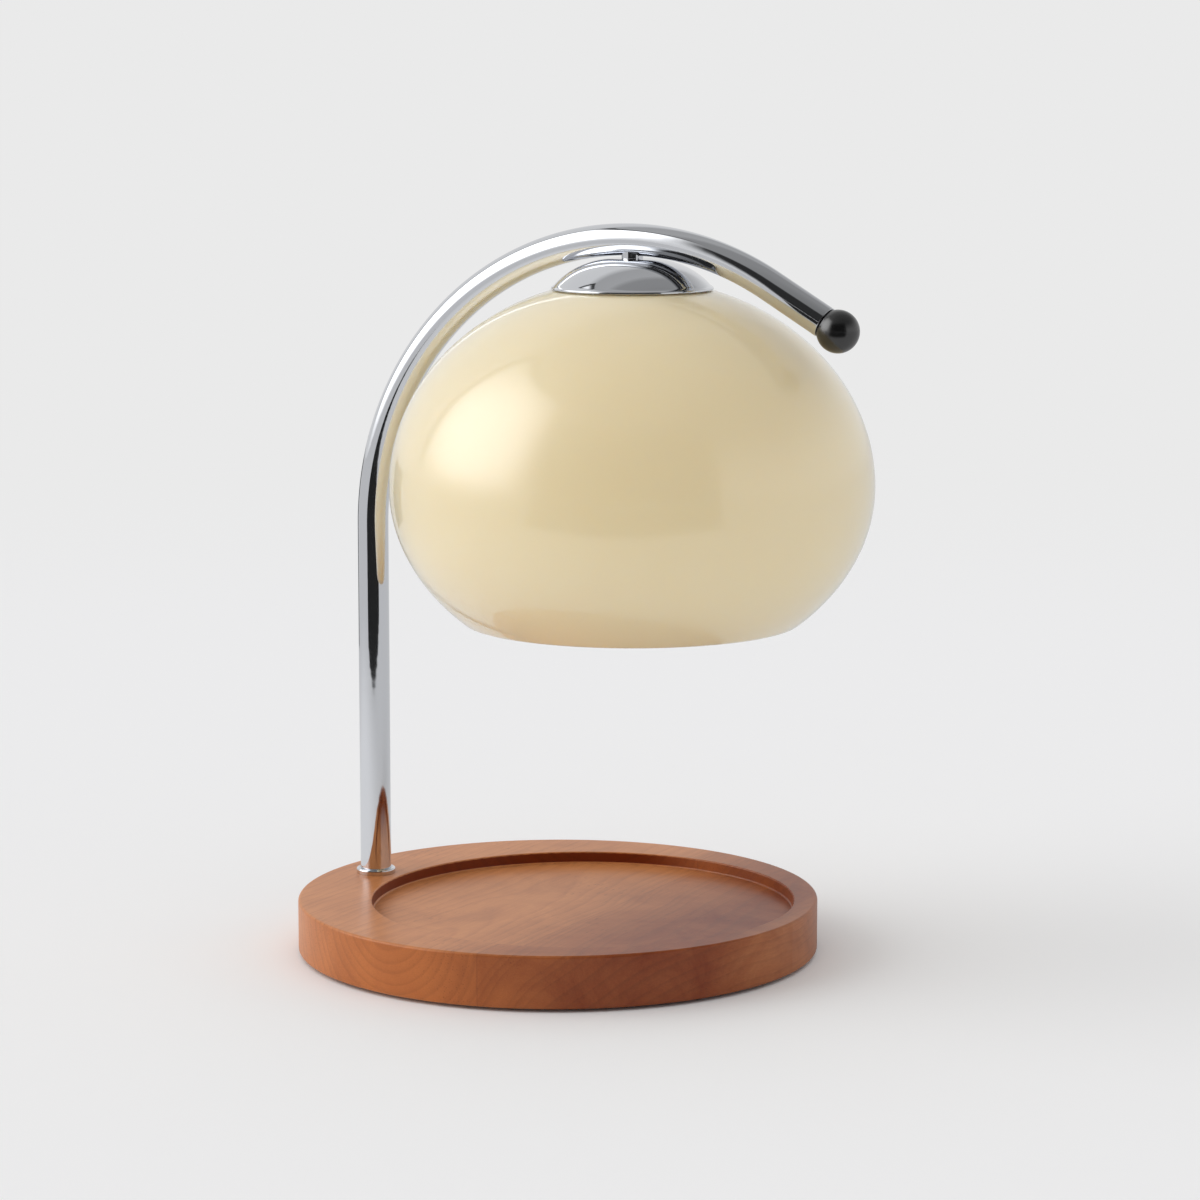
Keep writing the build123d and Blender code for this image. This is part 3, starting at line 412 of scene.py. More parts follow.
    # the glue line, 0.2 mm wide
    seam_gap = add("Math", {0: shifted}, operation="ABSOLUTE")
    seam = add(
        "MapRange",
        {"Value": seam_gap, "From Min": 0.0001, "From Max": 0.0003, "To Min": 0.22, "To Max": 0.0},
    )
    dark = add("Math", {0: seam, 1: pores}, operation="MAXIMUM")
    tones = add("Mix", {"Factor": dark, "A": figured, "B": look.wood_pore}, data_type="RGBA")
    height = add("Math", {0: pores, 1: -0.8, 2: fibre}, operation="MULTIPLY_ADD")
    bump = add("Bump", {"Height": height, "Strength": 0.12, "Distance": 0.0002})
    return add(
        "BsdfPrincipled",
        {
            "Base Color": tones, "Roughness": 0.6, "Specular IOR Level": 0.0, "Coat Weight": 0.7,
            "Coat Roughness": 0.3, "Normal": bump,
        },
    )


def chrome_plate(add):
    """Steel, polished and chrome plated: a near mirror, a little cloudy where it was wiped."""
    look = bpy.context.scene.lamp_colours
    place = add("TexCoord").outputs["Object"]
    wipe = add("TexNoise", {"Vector": place, "Scale": 55.0, "Detail": 3.0, "Roughness": 0.6})
    haze = add("MapRange", {"Value": wipe, "To Min": 0.035, "To Max": 0.075})
    ripple = add("TexNoise", {"Vector": place, "Scale": 160.0, "Detail": 1.0})
    bump = add("Bump", {"Height": ripple, "Strength": 0.02, "Distance": 0.001})
    return add(
        "BsdfPrincipled", {"Base Color": look.chrome, "Metallic": 1.0, "Roughness": haze, "Normal": bump}
    )


def cased_opal_glass(add):
    """Blown glass of cream opal cased in clear: soft inside light, clear gloss, and a painted paler sheen
    where it is seen edge on.
    """
    look = bpy.context.scene.lamp_colours
    place = add("TexCoord").outputs["Object"]
    drift = add("TexNoise", {"Vector": place, "Scale": 11.0})
    body = add("Mix", {"Factor": drift, "A": look.glass_body, "B": look.glass_thick}, data_type="RGBA")
    # painted sheen: the colour turns paler where the surface is seen edge on
    rim = add("LayerWeight", {"Blend": 0.25})
    tones = add("Mix", {"Factor": rim, "A": body, "B": look.glass_edge_sheen}, data_type="RGBA")
    # the slow waviness of blown glass, about 12 mm from crest to crest
    wave = add("TexNoise", {"Vector": place, "Scale": 80.0, "Detail": 1.0})
    bump = add("Bump", {"Height": wave, "Strength": 0.02, "Distance": 0.001})
    return add(
        "BsdfPrincipled",
        {
            "Base Color": tones, "Roughness": 0.06, "IOR": 1.5, "Specular IOR Level": 0.6,
            "Coat Weight": 1.0, "Coat Roughness": 0.4, "Coat IOR": 1.7, "Subsurface Weight": 1.0,
            "Subsurface Radius": (1.0, 0.95, 0.85), "Subsurface Scale": 0.004, "Normal": bump,
        },
        subsurface_method="RANDOM_WALK",
    )


def closed_cell_foam(add):
    """Black polyethylene foam, cut from a sheet: matt, with the small round cells of the cut face."""
    place = add("TexCoord").outputs["Object"]
    # cells 0.4 mm across, drawn 1 mm across so that they show
    cell = add("TexVoronoi", {"Vector": place, "Scale": 1000.0})
    tones = add("Mix", {"Factor": cell, "A": colour("#161616"), "B": colour("#303030")}, data_type="RGBA")
    bump = add("Bump", {"Height": cell, "Strength": 0.5, "Distance": 0.0003})
    return add("BsdfPrincipled", {"Base Color": tones, "Roughness": 0.9, "Normal": bump})


def grained(add, base, other, grain, bump_height, surface):
    """A moulded, sprayed or plated surface: two close tones in a fine grain that also stands up.

    The grain is the size in mm of one patch, and the bump height is in mm.
    """
    place = add("TexCoord").outputs["Object"]
    grit = add("TexNoise", {"Vector": place, "Scale": 1000.0 / grain, "Detail": 3.0, "Roughness": 0.6})
    tones = add("Mix", {"Factor": grit, "A": colour(base), "B": colour(other)}, data_type="RGBA")
    bump = add("Bump", {"Height": grit, "Strength": 0.3, "Distance": bump_height * MM})
    return add("BsdfPrincipled", {"Base Color": tones, "Normal": bump, **surface})


def matt_card(add):
    """Pale card. Only mirrors see that it gets less light away from the lamp's left."""
    spot = add("NewGeometry").outputs["Position"]
    # the middle of the lit floor is 350 mm to the lamp's left
    lit = tuple(-0.35 * side for side in TO_RIGHT)
    away = add("VectorMath", {0: spot, 1: (*lit, 0.0)}, operation="DISTANCE")
    falloff = add(
        "MapRange", {"Value": away, "From Min": 0.1, "From Max": 0.6, "To Max": 0.24},
        interpolation_type="SMOOTHSTEP",
    )
    ray = add("LightPath")
    dimmed = add("Math", {0: falloff, 1: ray.outputs["Is Glossy Ray"]}, operation="MULTIPLY")
    pale = bpy.context.scene.lamp_studio.table
    tone = add("Mix", {"Factor": dimmed, "A": pale, "B": (0.0, 0.0, 0.0)}, data_type="RGBA")
    matt = add("BsdfDiffuse", {"Color": tone})
    # well behind the lamp the table runs into the backdrop without a line
    out = add("VectorMath", {0: spot}, operation="LENGTH")
    faded = within(add, ((out, 0.6, 1.6),))
    unseen = add("Math", {0: faded, 1: ray.outputs["Is Camera Ray"]}, operation="MULTIPLY")
    backdrop = add("Emission", {"Color": (BACKDROP_SEEN,) * 3})
    return add("MixShader", {0: unseen, 1: matt, 2: backdrop})


def black_velvet(add):
    """Cotton velvet dyed black: nearly no light comes back."""
    return add("BsdfDiffuse", {"Color": colour("#2B2B2B")})


# for each slot, the material's name and what makes it; for a grained one also its two tones, the
# size of its grain and the height of its bump in mm, and the shader's own values
FINISHES = {
    "stained_wood": ("stained_hardwood_satin_lacquer", stained_hardwood),
    "chrome_plate": ("polished_chrome_plate", chrome_plate),
    "cream_glass": ("cased_opal_glass_cream", cased_opal_glass),
    "foam_pad": ("closed_cell_foam", closed_cell_foam),
    "pale_card": ("matt_card", matt_card),
    "black_cloth": ("black_velvet", black_velvet),
    # sprayed and baked powder: matt black with the low swell of orange peel
    "black_steel": ("powder_coated_steel", grained, "#161616", "#202020", 0.7, 0.05, {"Roughness": 0.55}),
    # electroplated zinc: a soft blue-grey sheen, clouded from place to place
    "zinc_steel": (
        "zinc_plated_steel", grained, "#C3C6C8", "#AEB2B3", 1.6, 0.01,
        {"Metallic": 1.0, "Roughness": 0.32},
    ),
    # moulded nitrile: dull black, a faint bloom
    "black_rubber": ("moulded_rubber", grained, "#171717", "#242424", 1.1, 0.03, {"Roughness": 0.7}),
    # moulded polyamide: off-white, waxy, lets a little light in
    "white_nylon": (
        "moulded_nylon", grained, "#ECEBE4", "#E2E1D8", 2.0, 0.02,
        {"Roughness": 0.45, "Subsurface Weight": 0.2, "Subsurface Scale": 0.001},
    ),
    # turned brass: warm yellow, fine tool sheen
    "brass": (
        "turned_brass", grained, "#D9B36A", "#C79F57", 2.0, 0.01, {"Metallic": 1.0, "Roughness": 0.28}
    ),
    # moulded and tumbled phenolic: deep black, a soft shine
    "black_phenolic": (
        "moulded_phenolic", grained, "#080808", "#0F0F0F", 2.5, 0.01,
        {"Roughness": 0.23, "Specular IOR Level": 1.0},
    ),
    # cast silicone: milky and a little see-through
    "clear_silicone": (
        "cast_silicone", grained, "#E4E3DF", "#D8D7D2", 2.0, 0.02,
        {"Roughness": 0.4, "Subsurface Weight": 0.5, "Subsurface Scale": 0.002},
    ),
    # pressed and fired steatite: chalky white, fine grit
    "white_ceramic": ("fired_steatite", grained, "#EFECE4", "#DDD8CC", 0.8, 0.03, {"Roughness": 0.6}),
    # aluminium evaporated on glass: bright mirror, slightly warm
    "reflector_glass": (
        "aluminised_glass", grained, "#DEDCD8", "#D2D0CC", 3.0, 0.01, {"Metallic": 1.0, "Roughness": 0.12}
    ),
    # pressed and drawn clear glass: bright edges, a slight waviness
    "lens_glass": (
        "pressed_clear_glass", grained, "#F6F8F8", "#EEF2F2", 4.0, 0.05,
        {"Roughness": 0.02, "IOR": 1.5, "Transmission Weight": 1.0},
    ),
    # extruded silicone sleeve: off-white, dry to the touch
    "silicone_lead": ("silicone_sleeve", grained, "#E6E5E0", "#DAD8D2", 1.4, 0.02, {"Roughness": 0.5}),
    # drawn tungsten: dark grey wire
    "tungsten": (
        "drawn_tungsten", grained, "#7A7874", "#5E5C58", 0.6, 0.005, {"Metallic": 1.0, "Roughness": 0.4}
    ),
}


def finish_for(slot):
    """The material of a slot, made the first time that it is asked for."""
    name, recipe, *values = FINISHES[slot]
    if name not in bpy.data.materials:
        add = emptied(bpy.data.materials.new(name))
        add("OutputMaterial", {"Surface": recipe(add, *values)})
    return bpy.data.materials[name]


def coat(piece, slot):
    """Gives a piece the material of a slot and no other."""
    piece.data.materials.clear()
    piece.data.materials.append(finish_for(slot))


def dress(*nodes):
    """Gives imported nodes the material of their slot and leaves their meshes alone."""
    for name in nodes:
        coat(frame["nodes"][name], SLOT_OF[name])


def fit(piece, node):
    """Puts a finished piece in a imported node's stead: its body, its slot and its material."""
    coat(piece, SLOT_OF[node])
    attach(piece, body_of(frame["nodes"][node])[0])
    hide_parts(node)


def arch_end(arm):
    """Where the arch ends, in mm, and the direction in which the straight tail runs on."""
    along = Vector((math.sin(arm.bend_turn), 0.0, math.cos(arm.bend_turn)))
    reach = arm.bend_radius / MM
    middle = Vector((POLE_X + reach, 0.0, BEND_HEIGHT))
    return middle + reach * Vector((-along.z, 0.0, along.x)), along


# ---------- sizes and colours


class ArmSizes(bpy.types.PropertyGroup):
    """The bent tube and the ball on its end."""

    tube_radius: FloatProperty(
        name="Tube radius", description="Outside of the tube", default=0.006, unit="LENGTH"
    )
    tube_wall: FloatProperty(
        name="Tube wall", description="Thickness of the tube's wall", default=0.001, unit="LENGTH"
    )
    bend_radius: FloatProperty(
        name="Bend radius", description="Radius of the arch", default=0.114, unit="LENGTH"
    )
    bend_turn: FloatProperty(
        name="Bend", description="Angle of the arch", default=math.radians(120), subtype="ANGLE"
    )
    tail: FloatProperty(
        name="Tail", description="Straight end after the arch", default=0.0256, unit="LENGTH"
    )
    lip: FloatProperty(
        name="Lip", description="Rounding of the tube's open end", default=0.0003, unit="LENGTH"
    )
    ball_radius: FloatProperty(
        name="Ball radius", description="Radius of the black ball", default=0.008, unit="LENGTH"
    )


class ShadeSizes(bpy.types.PropertyGroup):
    """The glass shade: two half ellipses that meet at its widest line."""

    radius: FloatProperty(
        name="Radius", description="Radius at the widest line", default=0.0913, unit="LENGTH"
    )
    crown: FloatProperty(
        name="Crown", description="Height above the widest line", default=0.0778, unit="LENGTH"
    )
    bowl: FloatProperty(
        name="Bowl", description="Depth of the half ellipse below it", default=0.0715, unit="LENGTH"
    )
    mouth: FloatProperty(
        name="Mouth", description="Outer radius of the mouth", default=0.0629, unit="LENGTH"
    )
    neck_hole: FloatProperty(
        name="Neck hole", description="Radius of the hole on top", default=0.015, unit="LENGTH"
    )
    wall: FloatProperty(name="Wall", description="Thickness of the glass", default=0.003, unit="LENGTH")


class CanopySizes(bpy.types.PropertyGroup):
    """The chrome cap over the shade's neck hole."""

    radius: FloatProperty(name="Radius", description="Radius of the rim", default=0.0305, unit="LENGTH")
    swell: FloatProperty(
        name="Swell", description="How far the crown rises over the flat top", default=0.0005,
        unit="LENGTH",
    )
    skirt: FloatProperty(
        name="Skirt", description="Height of the upright band at the rim", default=0.0006, unit="LENGTH"
    )
    wall: FloatProperty(name="Wall", description="Thickness of the sheet", default=0.0008, unit="LENGTH")


class BulbSizes(bpy.types.PropertyGroup):
    """Detail of the halogen bulb."""

    facets: IntProperty(name="Facets", description="Facets round the reflector", default=24)
    facet_rows: IntProperty(name="Facet rows", description="Rows from neck to rim", default=8)
    lens_rings: IntProperty(name="Lens rings", description="Ribs pressed in the lens", default=9)
    coil_turns: IntProperty(name="Coil turns", description="Turns of the filament", default=10)
    coil_radius: FloatProperty(
        name="Coil radius", description="Radius of the filament's coil", default=0.0009, unit="LENGTH"
    )
    wire: FloatProperty(
        name="Wire", description="Radius of the filament's wire", default=0.00014, unit="LENGTH"
    )


class LampColours(bpy.types.PropertyGroup):
    """Colours of the lamp's main finishes."""

    wood_light: FloatVectorProperty(
        name="Light wood", description="Stained wood where the stain is thin", subtype="COLOR",
        default=colour("#DE965E"),
    )
    wood_red: FloatVectorProperty(
        name="Red wood", description="Stained wood where the stain is deep", subtype="COLOR",
        default=colour("#78300B"),
    )
    # partly painted shade: multiplies the rim's faces along the fibre darker
    end_grain_and_shade_tone: FloatVectorProperty(
        name="End grain", description="How much of the light end grain gives back", subtype="COLOR",
        default=colour("#E6CBAA"),
    )
    wood_pore: FloatVectorProperty(
        name="Pores", description="Stain in the open pores", subtype="COLOR", default=colour("#4A2213")
    )
    chrome: FloatVectorProperty(
        name="Chrome", description="Chrome plate", subtype="COLOR", default=colour("#DCDEE2")
    )
    glass_body: FloatVectorProperty(
        name="Glass", description="Cream opal glass", subtype="COLOR", default=colour("#F6E4BE")
    )
    glass_thick: FloatVectorProperty(
        name="Thick glass", description="Cream opal glass where it is thicker", subtype="COLOR",
        default=colour("#F1DCB1"),
    )
    # painted sheen: the glass's colour where it is seen edge on
    glass_edge_sheen: FloatVectorProperty(
        name="Glass edge", description="Clear casing seen edge on", subtype="COLOR",
        default=colour("#F5ECD2"),
    )


class StudioSettings(bpy.types.PropertyGroup):
    """Table, light and backdrop."""

    table: FloatVectorProperty(
        name="Table", description="Pale table", subtype="COLOR", default=colour("#F7F7F8")
    )
    walls: FloatProperty(name="Walls", description="Brightness of the walls", default=0.84)
    ceiling: FloatProperty(name="Ceiling", description="Brightness of the ceiling", default=0.85)
    unlit: FloatProperty(
        name="Unlit side", description="Brightness of the room behind the camera", default=0.56
    )
    shaded: FloatProperty(
        name="Shaded side", description="Brightness of the room on the right", default=0.62
    )
    key: FloatProperty(name="Key light", description="Strength of the key light", default=0.95)


# ---------- pieces


class LAMP_OT_board(bpy.types.Operator):
    """Stain the wooden board and finish the pad, cover and screws under it"""

    bl_idname = "lamp.board"
    bl_label = "Wooden board"

    def execute(self, context):
        dress("wooden_base", "base_pad", "base_cover", "cover_screws")
        return {"FINISHED"}


class LAMP_OT_inlet(bpy.types.Operator):
    """Mould the rubber grommet of the cable inlet and finish the terminal block and wires"""

    bl_idname = "lamp.cable_inlet"
    bl_label = "Cable inlet and wiring"

    def execute(self, context):
        bore, shank, flange = 3.1, 4.1, 6.0
        depth, thickness, soft = 12.0, 1.5, 0.5
        outside = arc((flange - soft, thickness - soft), (soft, soft), 0, 90, 5)
        mouth = arc((bore + soft, thickness - soft), (soft, soft), 90, 180, 5)
        profile = [(shank, -depth), (shank, 0.0), (flange, 0.0), *outside, *mouth]
        # two soft lips inside the bore hold the cable
        lip_reach, lip_half = 0.35, 1.0
        for lip in (-3.0, -7.0):
            profile += [(bore, lip + lip_half), (bore - lip_reach, lip), (bore, lip - lip_half)]
        profile += [(bore, -depth)]
        grommet = turned("inlet_grommet_rubber", profile, steps=64, closed=True)
        out = Vector((math.cos(INLET_BEARING), math.sin(INLET_BEARING), 0.0))
        point_along(grommet, (BOARD_RADIUS + GAP) * out + Vector((0.0, 0.0, INLET_HEIGHT)), out)
        smooth(grommet, 40)
        fit(grommet, "inlet_grommet")
        dress("terminal_block", "terminal_screws", "block_screw")
        dress("lamp_lead", "block_cores", "holder_cores")
        return {"FINISHED"}


class LAMP_OT_arm(bpy.types.Operator):
    """Bend the chrome tube over the board, with a wall, a bore and a rounded open end"""

    bl_idname = "lamp.arm"
    bl_label = "Chrome arm"

    def execute(self, context):
        size = context.scene.lamp_arm
        centre = (POLE_X * MM + size.bend_radius, 0.0, BEND_HEIGHT * MM)
        bend_end, along = arch_end(size)
        deselect_all()
        bpy.ops.mesh.primitive_circle_add(
            vertices=64, radius=size.tube_radius, location=(POLE_X * MM, 0.0, WOOD_TOP * MM)
        )
        tube = begin_shaping("chrome_arm")
        bpy.ops.mesh.select_all(action="SELECT")
        lengths = 8  # in the upright
        rise = (0.0, 0.0, (BEND_HEIGHT - WOOD_TOP) * MM / lengths)
        for _ in range(lengths):
            bpy.ops.mesh.extrude_region_move(TRANSFORM_OT_translate={"value": rise})
        bpy.ops.mesh.spin(steps=96, angle=size.bend_turn, center=centre, axis=(0, -1, 0))
        bpy.ops.mesh.extrude_region_move(TRANSFORM_OT_translate={"value": along * size.tail})
        weld()
        bpy.ops.mesh.normals_make_consistent(inside=False)
        bpy.ops.object.mode_set(mode="OBJECT")
        apply_modifier(tube, "SOLIDIFY", thickness=size.tube_wall, offset=-1.0)
        end = bend_end + along * size.tail / MM
        round_rim(tube, lambda point: abs((point - end).dot(along)) < NEAR, size.lip / MM)
        smooth(tube, 35)
        fit(tube, "stem_tube")

        # the ring at the foot: a bead over a low flange
        bore, width, lift, height = size.tube_radius / MM + GAP, 1.65, 0.12, 1.9
        flange = [(bore, WOOD_TOP), (bore + width - 0.05, WOOD_TOP), (bore + width, WOOD_TOP + lift)]
        bead = arc((bore + width - 0.6, WOOD_TOP + height - 0.45), (0.6, 0.75), -30, 150, 14)
        outline = [*flange, *bead, (bore, WOOD_TOP + height)]
        collar = turned("foot_collar", outline, POLE_X, closed=True)
        smooth(collar, 40)
        fit(collar, "tube_collar")
        dress("foot_bush", "base_nipple", "base_washer", "base_lock_washer", "base_nut", "end_plug")
        return {"FINISHED"}


class LAMP_OT_ball(bpy.types.Operator):
    """Mould the black ball on the arm's end, with its flat and the hole for the stud"""

    bl_idname = "lamp.ball"
    bl_label = "Black ball"

    def execute(self, context):
        arm = context.scene.lamp_arm
        radius = arm.ball_radius / MM
        flat, hole, depth = 4.0, 2.05, 9.0
        drop = math.sqrt(radius**2 - flat**2)
        skin = arc((0, 0), (radius, radius), 90, -math.degrees(math.acos(flat / radius)), 56)
        profile = [*skin, (hole, -drop), (hole, depth - drop), (0.0, depth - drop)]
        profile[0] = (0.0, radius)  # exactly on the axis
        ball = turned("black_ball", profile)
        # the ball sits on the rounded inner edge of the tube's end
        bend_end, along = arch_end(arm)
        seat = (arm.tube_radius - arm.tube_wall + arm.lip) / MM
        centre = bend_end + along * (arm.tail / MM + math.sqrt(radius**2 - seat**2))
        point_along(ball, centre, along)
        smooth(ball, 50)
        fit(ball, "ball_finial")
        dress("ball_stud")
        return {"FINISHED"}


class LAMP_OT_shade(bpy.types.Operator):
    """Blow the cream glass shade: an even wall between a small neck hole and the wide mouth"""

    bl_idname = "lamp.glass_shade"
    bl_label = "Glass shade"

    def execute(self, context):
        size = context.scene.lamp_shade
        radius, crown, bowl = size.radius / MM, size.crown / MM, size.bowl / MM
        wall, hole = size.wall / MM, size.neck_hole / MM
        drop = bowl * math.sqrt(1 - (size.mouth / size.radius) ** 2)
        middle = (0.0, SHADE_WIDEST)
        profile = []
        for inset in (0.0, wall):
            wide, tall, deep = radius - inset, crown - inset, bowl - inset
            down = -math.degrees(math.asin(drop / deep))
            up = math.degrees(math.acos(hole / wide))
            side = arc(middle, (wide, deep), down, 0, 30)[:-1] + arc(middle, (wide, tall), 0, up, 44)
            profile += side if inset == 0.0 else side[::-1]
        glass = turned("shade_glass", profile, SHADE_X, 192, closed=True)
        mouth_round, neck_round = 1.1, 0.6
        mouth_top, neck_edge = SHADE_WIDEST - drop + NEAR, hole + NEAR
        round_rim(glass, lambda point: point.z < mouth_top, mouth_round)
        round_rim(glass, lambda point: off_shade_axis(point) < neck_edge, neck_round)
        smooth(glass, 50)
        fit(glass, "glass_shade")
        return {"FINISHED"}


class LAMP_OT_canopy(bpy.types.Operator):
    """Spin the chrome canopy and finish the clamp that holds the shade under it"""

    bl_idname = "lamp.canopy"
    bl_label = "Canopy and clamp"

    def execute(self, context):
        size = context.scene.lamp_canopy
        wall, swell, skirt = size.wall / MM, size.swell / MM, size.skirt / MM
        flat, hole, height, swell_radius = 8.0, 4.1, 11.0, 18.0
        slope = size.radius / MM - flat
        arch = (slope**2 + height**2) / (2 * height)
        foot = CANOPY_TOP - height
        rim = size.radius / MM - 0.12  # just inside the radius that the dome's arch runs to

        def dome(radius, inset):
            """Height of the outer face, or of the inner one at the wall's inset."""
            fuller = swell * max(0.0, 1 - (radius / swell_radius) ** 2) ** 2
            rise = math.sqrt((arch - inset) ** 2 - max(0.0, radius - flat) ** 2)
            return CANOPY_TOP - arch + rise + fuller

        steps, band_width, band_depth = 40, 0.8, 1.4
        spots = [hole + (rim - band_width - hole) * i / steps for i in range(steps + 1)]
        outer = [(radius, dome(radius, 0.0)) for radius in spots]
        # the dome rolls into an upright band, which turns in again at the foot
        band = [
            (rim - 0.35, foot + skirt + 0.36), (rim - 0.12, foot + skirt + 0.2),
            (rim - 0.02, foot + skirt), (rim, foot + skirt - 0.15), (rim, foot + 0.14),
            (rim - 0.05, foot + 0.04), (rim - 0.18, foot), (rim - 0.6, foot), (rim - 0.72, foot + 0.12),
        ]
        inner = [(radius, dome(radius, wall)) for radius in spots if radius < rim - band_depth][::-1]
        cap = turned("canopy_dome", [*outer, *band, *inner], SHADE_X, 160, closed=True)
        smooth(cap, 40)
        fit(cap, "canopy")
        dress("upper_gasket", "lower_gasket", "clamp_plate", "shade_lock_washer")
        dress("clamp_nut", "shade_nipple")
        return {"FINISHED"}


class LAMP_OT_holder(bpy.types.Operator):
    """Finish the ceramic lampholder and the bracket that carries it"""

    bl_idname = "lamp.holder"
    bl_label = "Lampholder"

    def execute(self, context):
        dress("holder_bracket", "bracket_nut", "holder_body", "holder_cap")
        dress("holder_screws", "holder_contacts")
        return {"FINISHED"}


class LAMP_OT_bulb(bpy.types.Operator):
    """Make the halogen bulb: faceted reflector, ribbed lens, capsule and filament"""

    bl_idname = "lamp.bulb"
    bl_label = "Bulb"

    def execute(self, context):
        size = context.scene.lamp_bulb
        # the skin and the rim are round, the inside of the bowl is a ring of flat facets
        rim, lip, neck, throat = 25.3, 23.7, 8.0, 6.4
        face, seat, mouth, shoulder, neck_top = 169.4, 172.3, 172.8, 197.9, 201.9
        back = arc_through((neck + 1.6, shoulder), (20.9, 186.86), (rim, mouth), 22)
        edge = [
            (rim, face + 0.5), (rim - 0.15, face + 0.15), (rim - 0.5, face), (lip + 0.4, face),
            (lip + 0.1, face + 0.15), (lip, face + 0.5), (lip, seat),
        ]
        outline = [(throat, neck_top), (neck, neck_top), (neck, shoulder), *back, *edge]
        skin = turned("reflector_skin", outline, SHADE_X, size.facets * 4)
        hollow = arc_through((lip, mouth), (19.3, 186.06), (throat, 196.3), size.facet_rows)
        facets = turned("reflector_facets", hollow, SHADE_X, size.facets, inside=True)
        bowl = joined("reflector_bowl", [skin, facets])
        reach = 0.1  # mm, round each line that is picked

        def on_lip(point):
            """Whether a point is on the rim of the skin's lip or on that of the facets."""
            between = seat - reach < point.z < mouth + reach
            return between and off_shade_axis(point) < lip + 3 * reach

        bridge(bowl, on_lip)
        bridge(bowl, lambda point: off_shade_axis(point) < throat + reach)
        take(bowl)
        bpy.ops.object.mode_set(mode="EDIT")
        bpy.ops.mesh.select_all(action="SELECT")
        bpy.ops.mesh.normals_make_consistent(inside=False)
        bpy.ops.object.mode_set(mode="OBJECT")
        smooth(bowl, 5)
        fit(bowl, "bulb_reflector")

        # ribs on the lens's inner face, its outer face is flat
        edge, ribbed, front, back, soft, rib_height = 23.6, 22.5, 169.8, 171.3, 0.3, 0.5
        width = ribbed / size.lens_rings
        ribs = []
        for i in range(size.lens_rings):
            for share in (0.0, 0.25, 0.5, 0.75):
                swell = rib_height * math.sin(math.pi * share)
                ribs.append((ribbed - width * (i + share), back + swell))
        side = [(edge - soft, front), (edge, front + soft), (edge, back - 0.1)]
        lens = turned("lens_disc", [(0.0, front), *side, *ribs, (0.0, back)], SHADE_X)
        smooth(lens, 50)
        fit(lens, "bulb_lens")

        # the capsule is a thin tube with a domed end and the nub where it was drawn shut
        radius, wall, top, waist = 4.45, 0.7, 204.8, 192.3
        dome = arc((0, waist), (radius, 3.7), 0, -82, 12)
        nub = [(0.5, waist - 4.1), (0.0, waist - 4.35)]
        skin = turned("capsule_skin", [(0.0, top), (radius, top), *dome, *nub], SHADE_X, 48)
        inner, inner_top, inner_waist, depth = radius - wall, top - 1.6, waist + 0.2, 3.0
        dome = arc((0, inner_waist), (inner, depth), 0, -90, 10)[:-1]
        outline = [(0.0, inner_top), (inner, inner_top), *dome, (0.0, inner_waist - depth)]
        hollow = turned("capsule_hollow", outline, SHADE_X, 48, inside=True)
        capsule = joined("capsule_glass", [skin, hollow])
        smooth(capsule, 45)
        fit(capsule, "bulb_capsule")

        # the filament: a coil between two wires that hang from the capsule's top
        coil_radius, wire = size.coil_radius / MM, size.wire / MM
        pitch, coil_foot = wire * 4, 192.4
        deselect_all()
        bpy.ops.mesh.primitive_circle_add(
            vertices=8, radius=size.wire, location=(size.coil_radius, 0, 0), rotation=(math.pi / 2, 0, 0)
        )
        coil = begin_shaping("filament_coil")
        bpy.ops.object.mode_set(mode="OBJECT")
        apply_modifier(
            coil, "SCREW", angle=2 * math.pi, screw_offset=pitch * MM, iterations=size.coil_turns,
            steps=14, render_steps=14, use_merge_vertices=True,
        )
        point_along(coil, (SHADE_X, 0.0, coil_foot), (0, 0, 1))
        leg_radius, leg_top, leg_out = 0.22, 203.1, coil_radius + 0.5
        legs = []
        for side, low in ((1, coil_foot), (-1, coil_foot + pitch * size.coil_turns)):
            leg = [(0.0, low), (leg_radius, low), (leg_radius, leg_top), (0.0, leg_top)]
            legs.append(turned("filament_wire", leg, SHADE_X + side * leg_out, 12))
        filament = joined("filament_coil", [coil, *legs])
        smooth(filament, 40)
        coat(filament, "tungsten")
        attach(filament, body_of(frame["nodes"]["bulb_capsule"])[0])
        dress("bulb_base", "bulb_pins")
        return {"FINISHED"}


# ---------- studio


def table_top():
    """The table under the lamp."""
    bpy.ops.mesh.primitive_plane_add(size=80.0)
    table = bpy.context.object
    table.name = "table_top"
    coat(table, "pale_card")


def black_cloths():
    """Black cloth on the table in front and far left, which only mirrors see."""
    above_table = 0.0005
    # bearings in degrees from the camera's side, distances in metres
    for name, left, right, near, far in (
        ("black_cloth_front", -47, 41, 0.52, 7.0),
        ("black_cloth_left", -152, -138, 0.75, 7.0),
    ):
        deselect_all()
        bpy.ops.mesh.primitive_plane_add(size=1.0)
        cloth = begin_shaping(name)
        shape = bmesh.from_edit_mesh(cloth.data)
        shape.verts.ensure_lookup_table()
        middle = math.radians((left + right) / 2)
        half = math.radians((right - left) / 2)
        corners = ((-half, near), (half, near), (half, far), (-half, far))
        for corner, (turn, reach) in zip((0, 1, 3, 2), corners):
            slant = reach / math.cos(turn)
            front = slant * math.cos(middle + turn)
            side = slant * math.sin(middle + turn)
            spot = [front * f + side * r for f, r in zip(TO_CAMERA, TO_RIGHT)]
            shape.verts[corner].co = (*spot, above_table)
        bmesh.update_edit_mesh(cloth.data)
        bpy.ops.object.mode_set(mode="OBJECT")
        coat(cloth, "black_cloth")
        cloth.visible_camera = cloth.visible_diffuse = cloth.visible_shadow = False


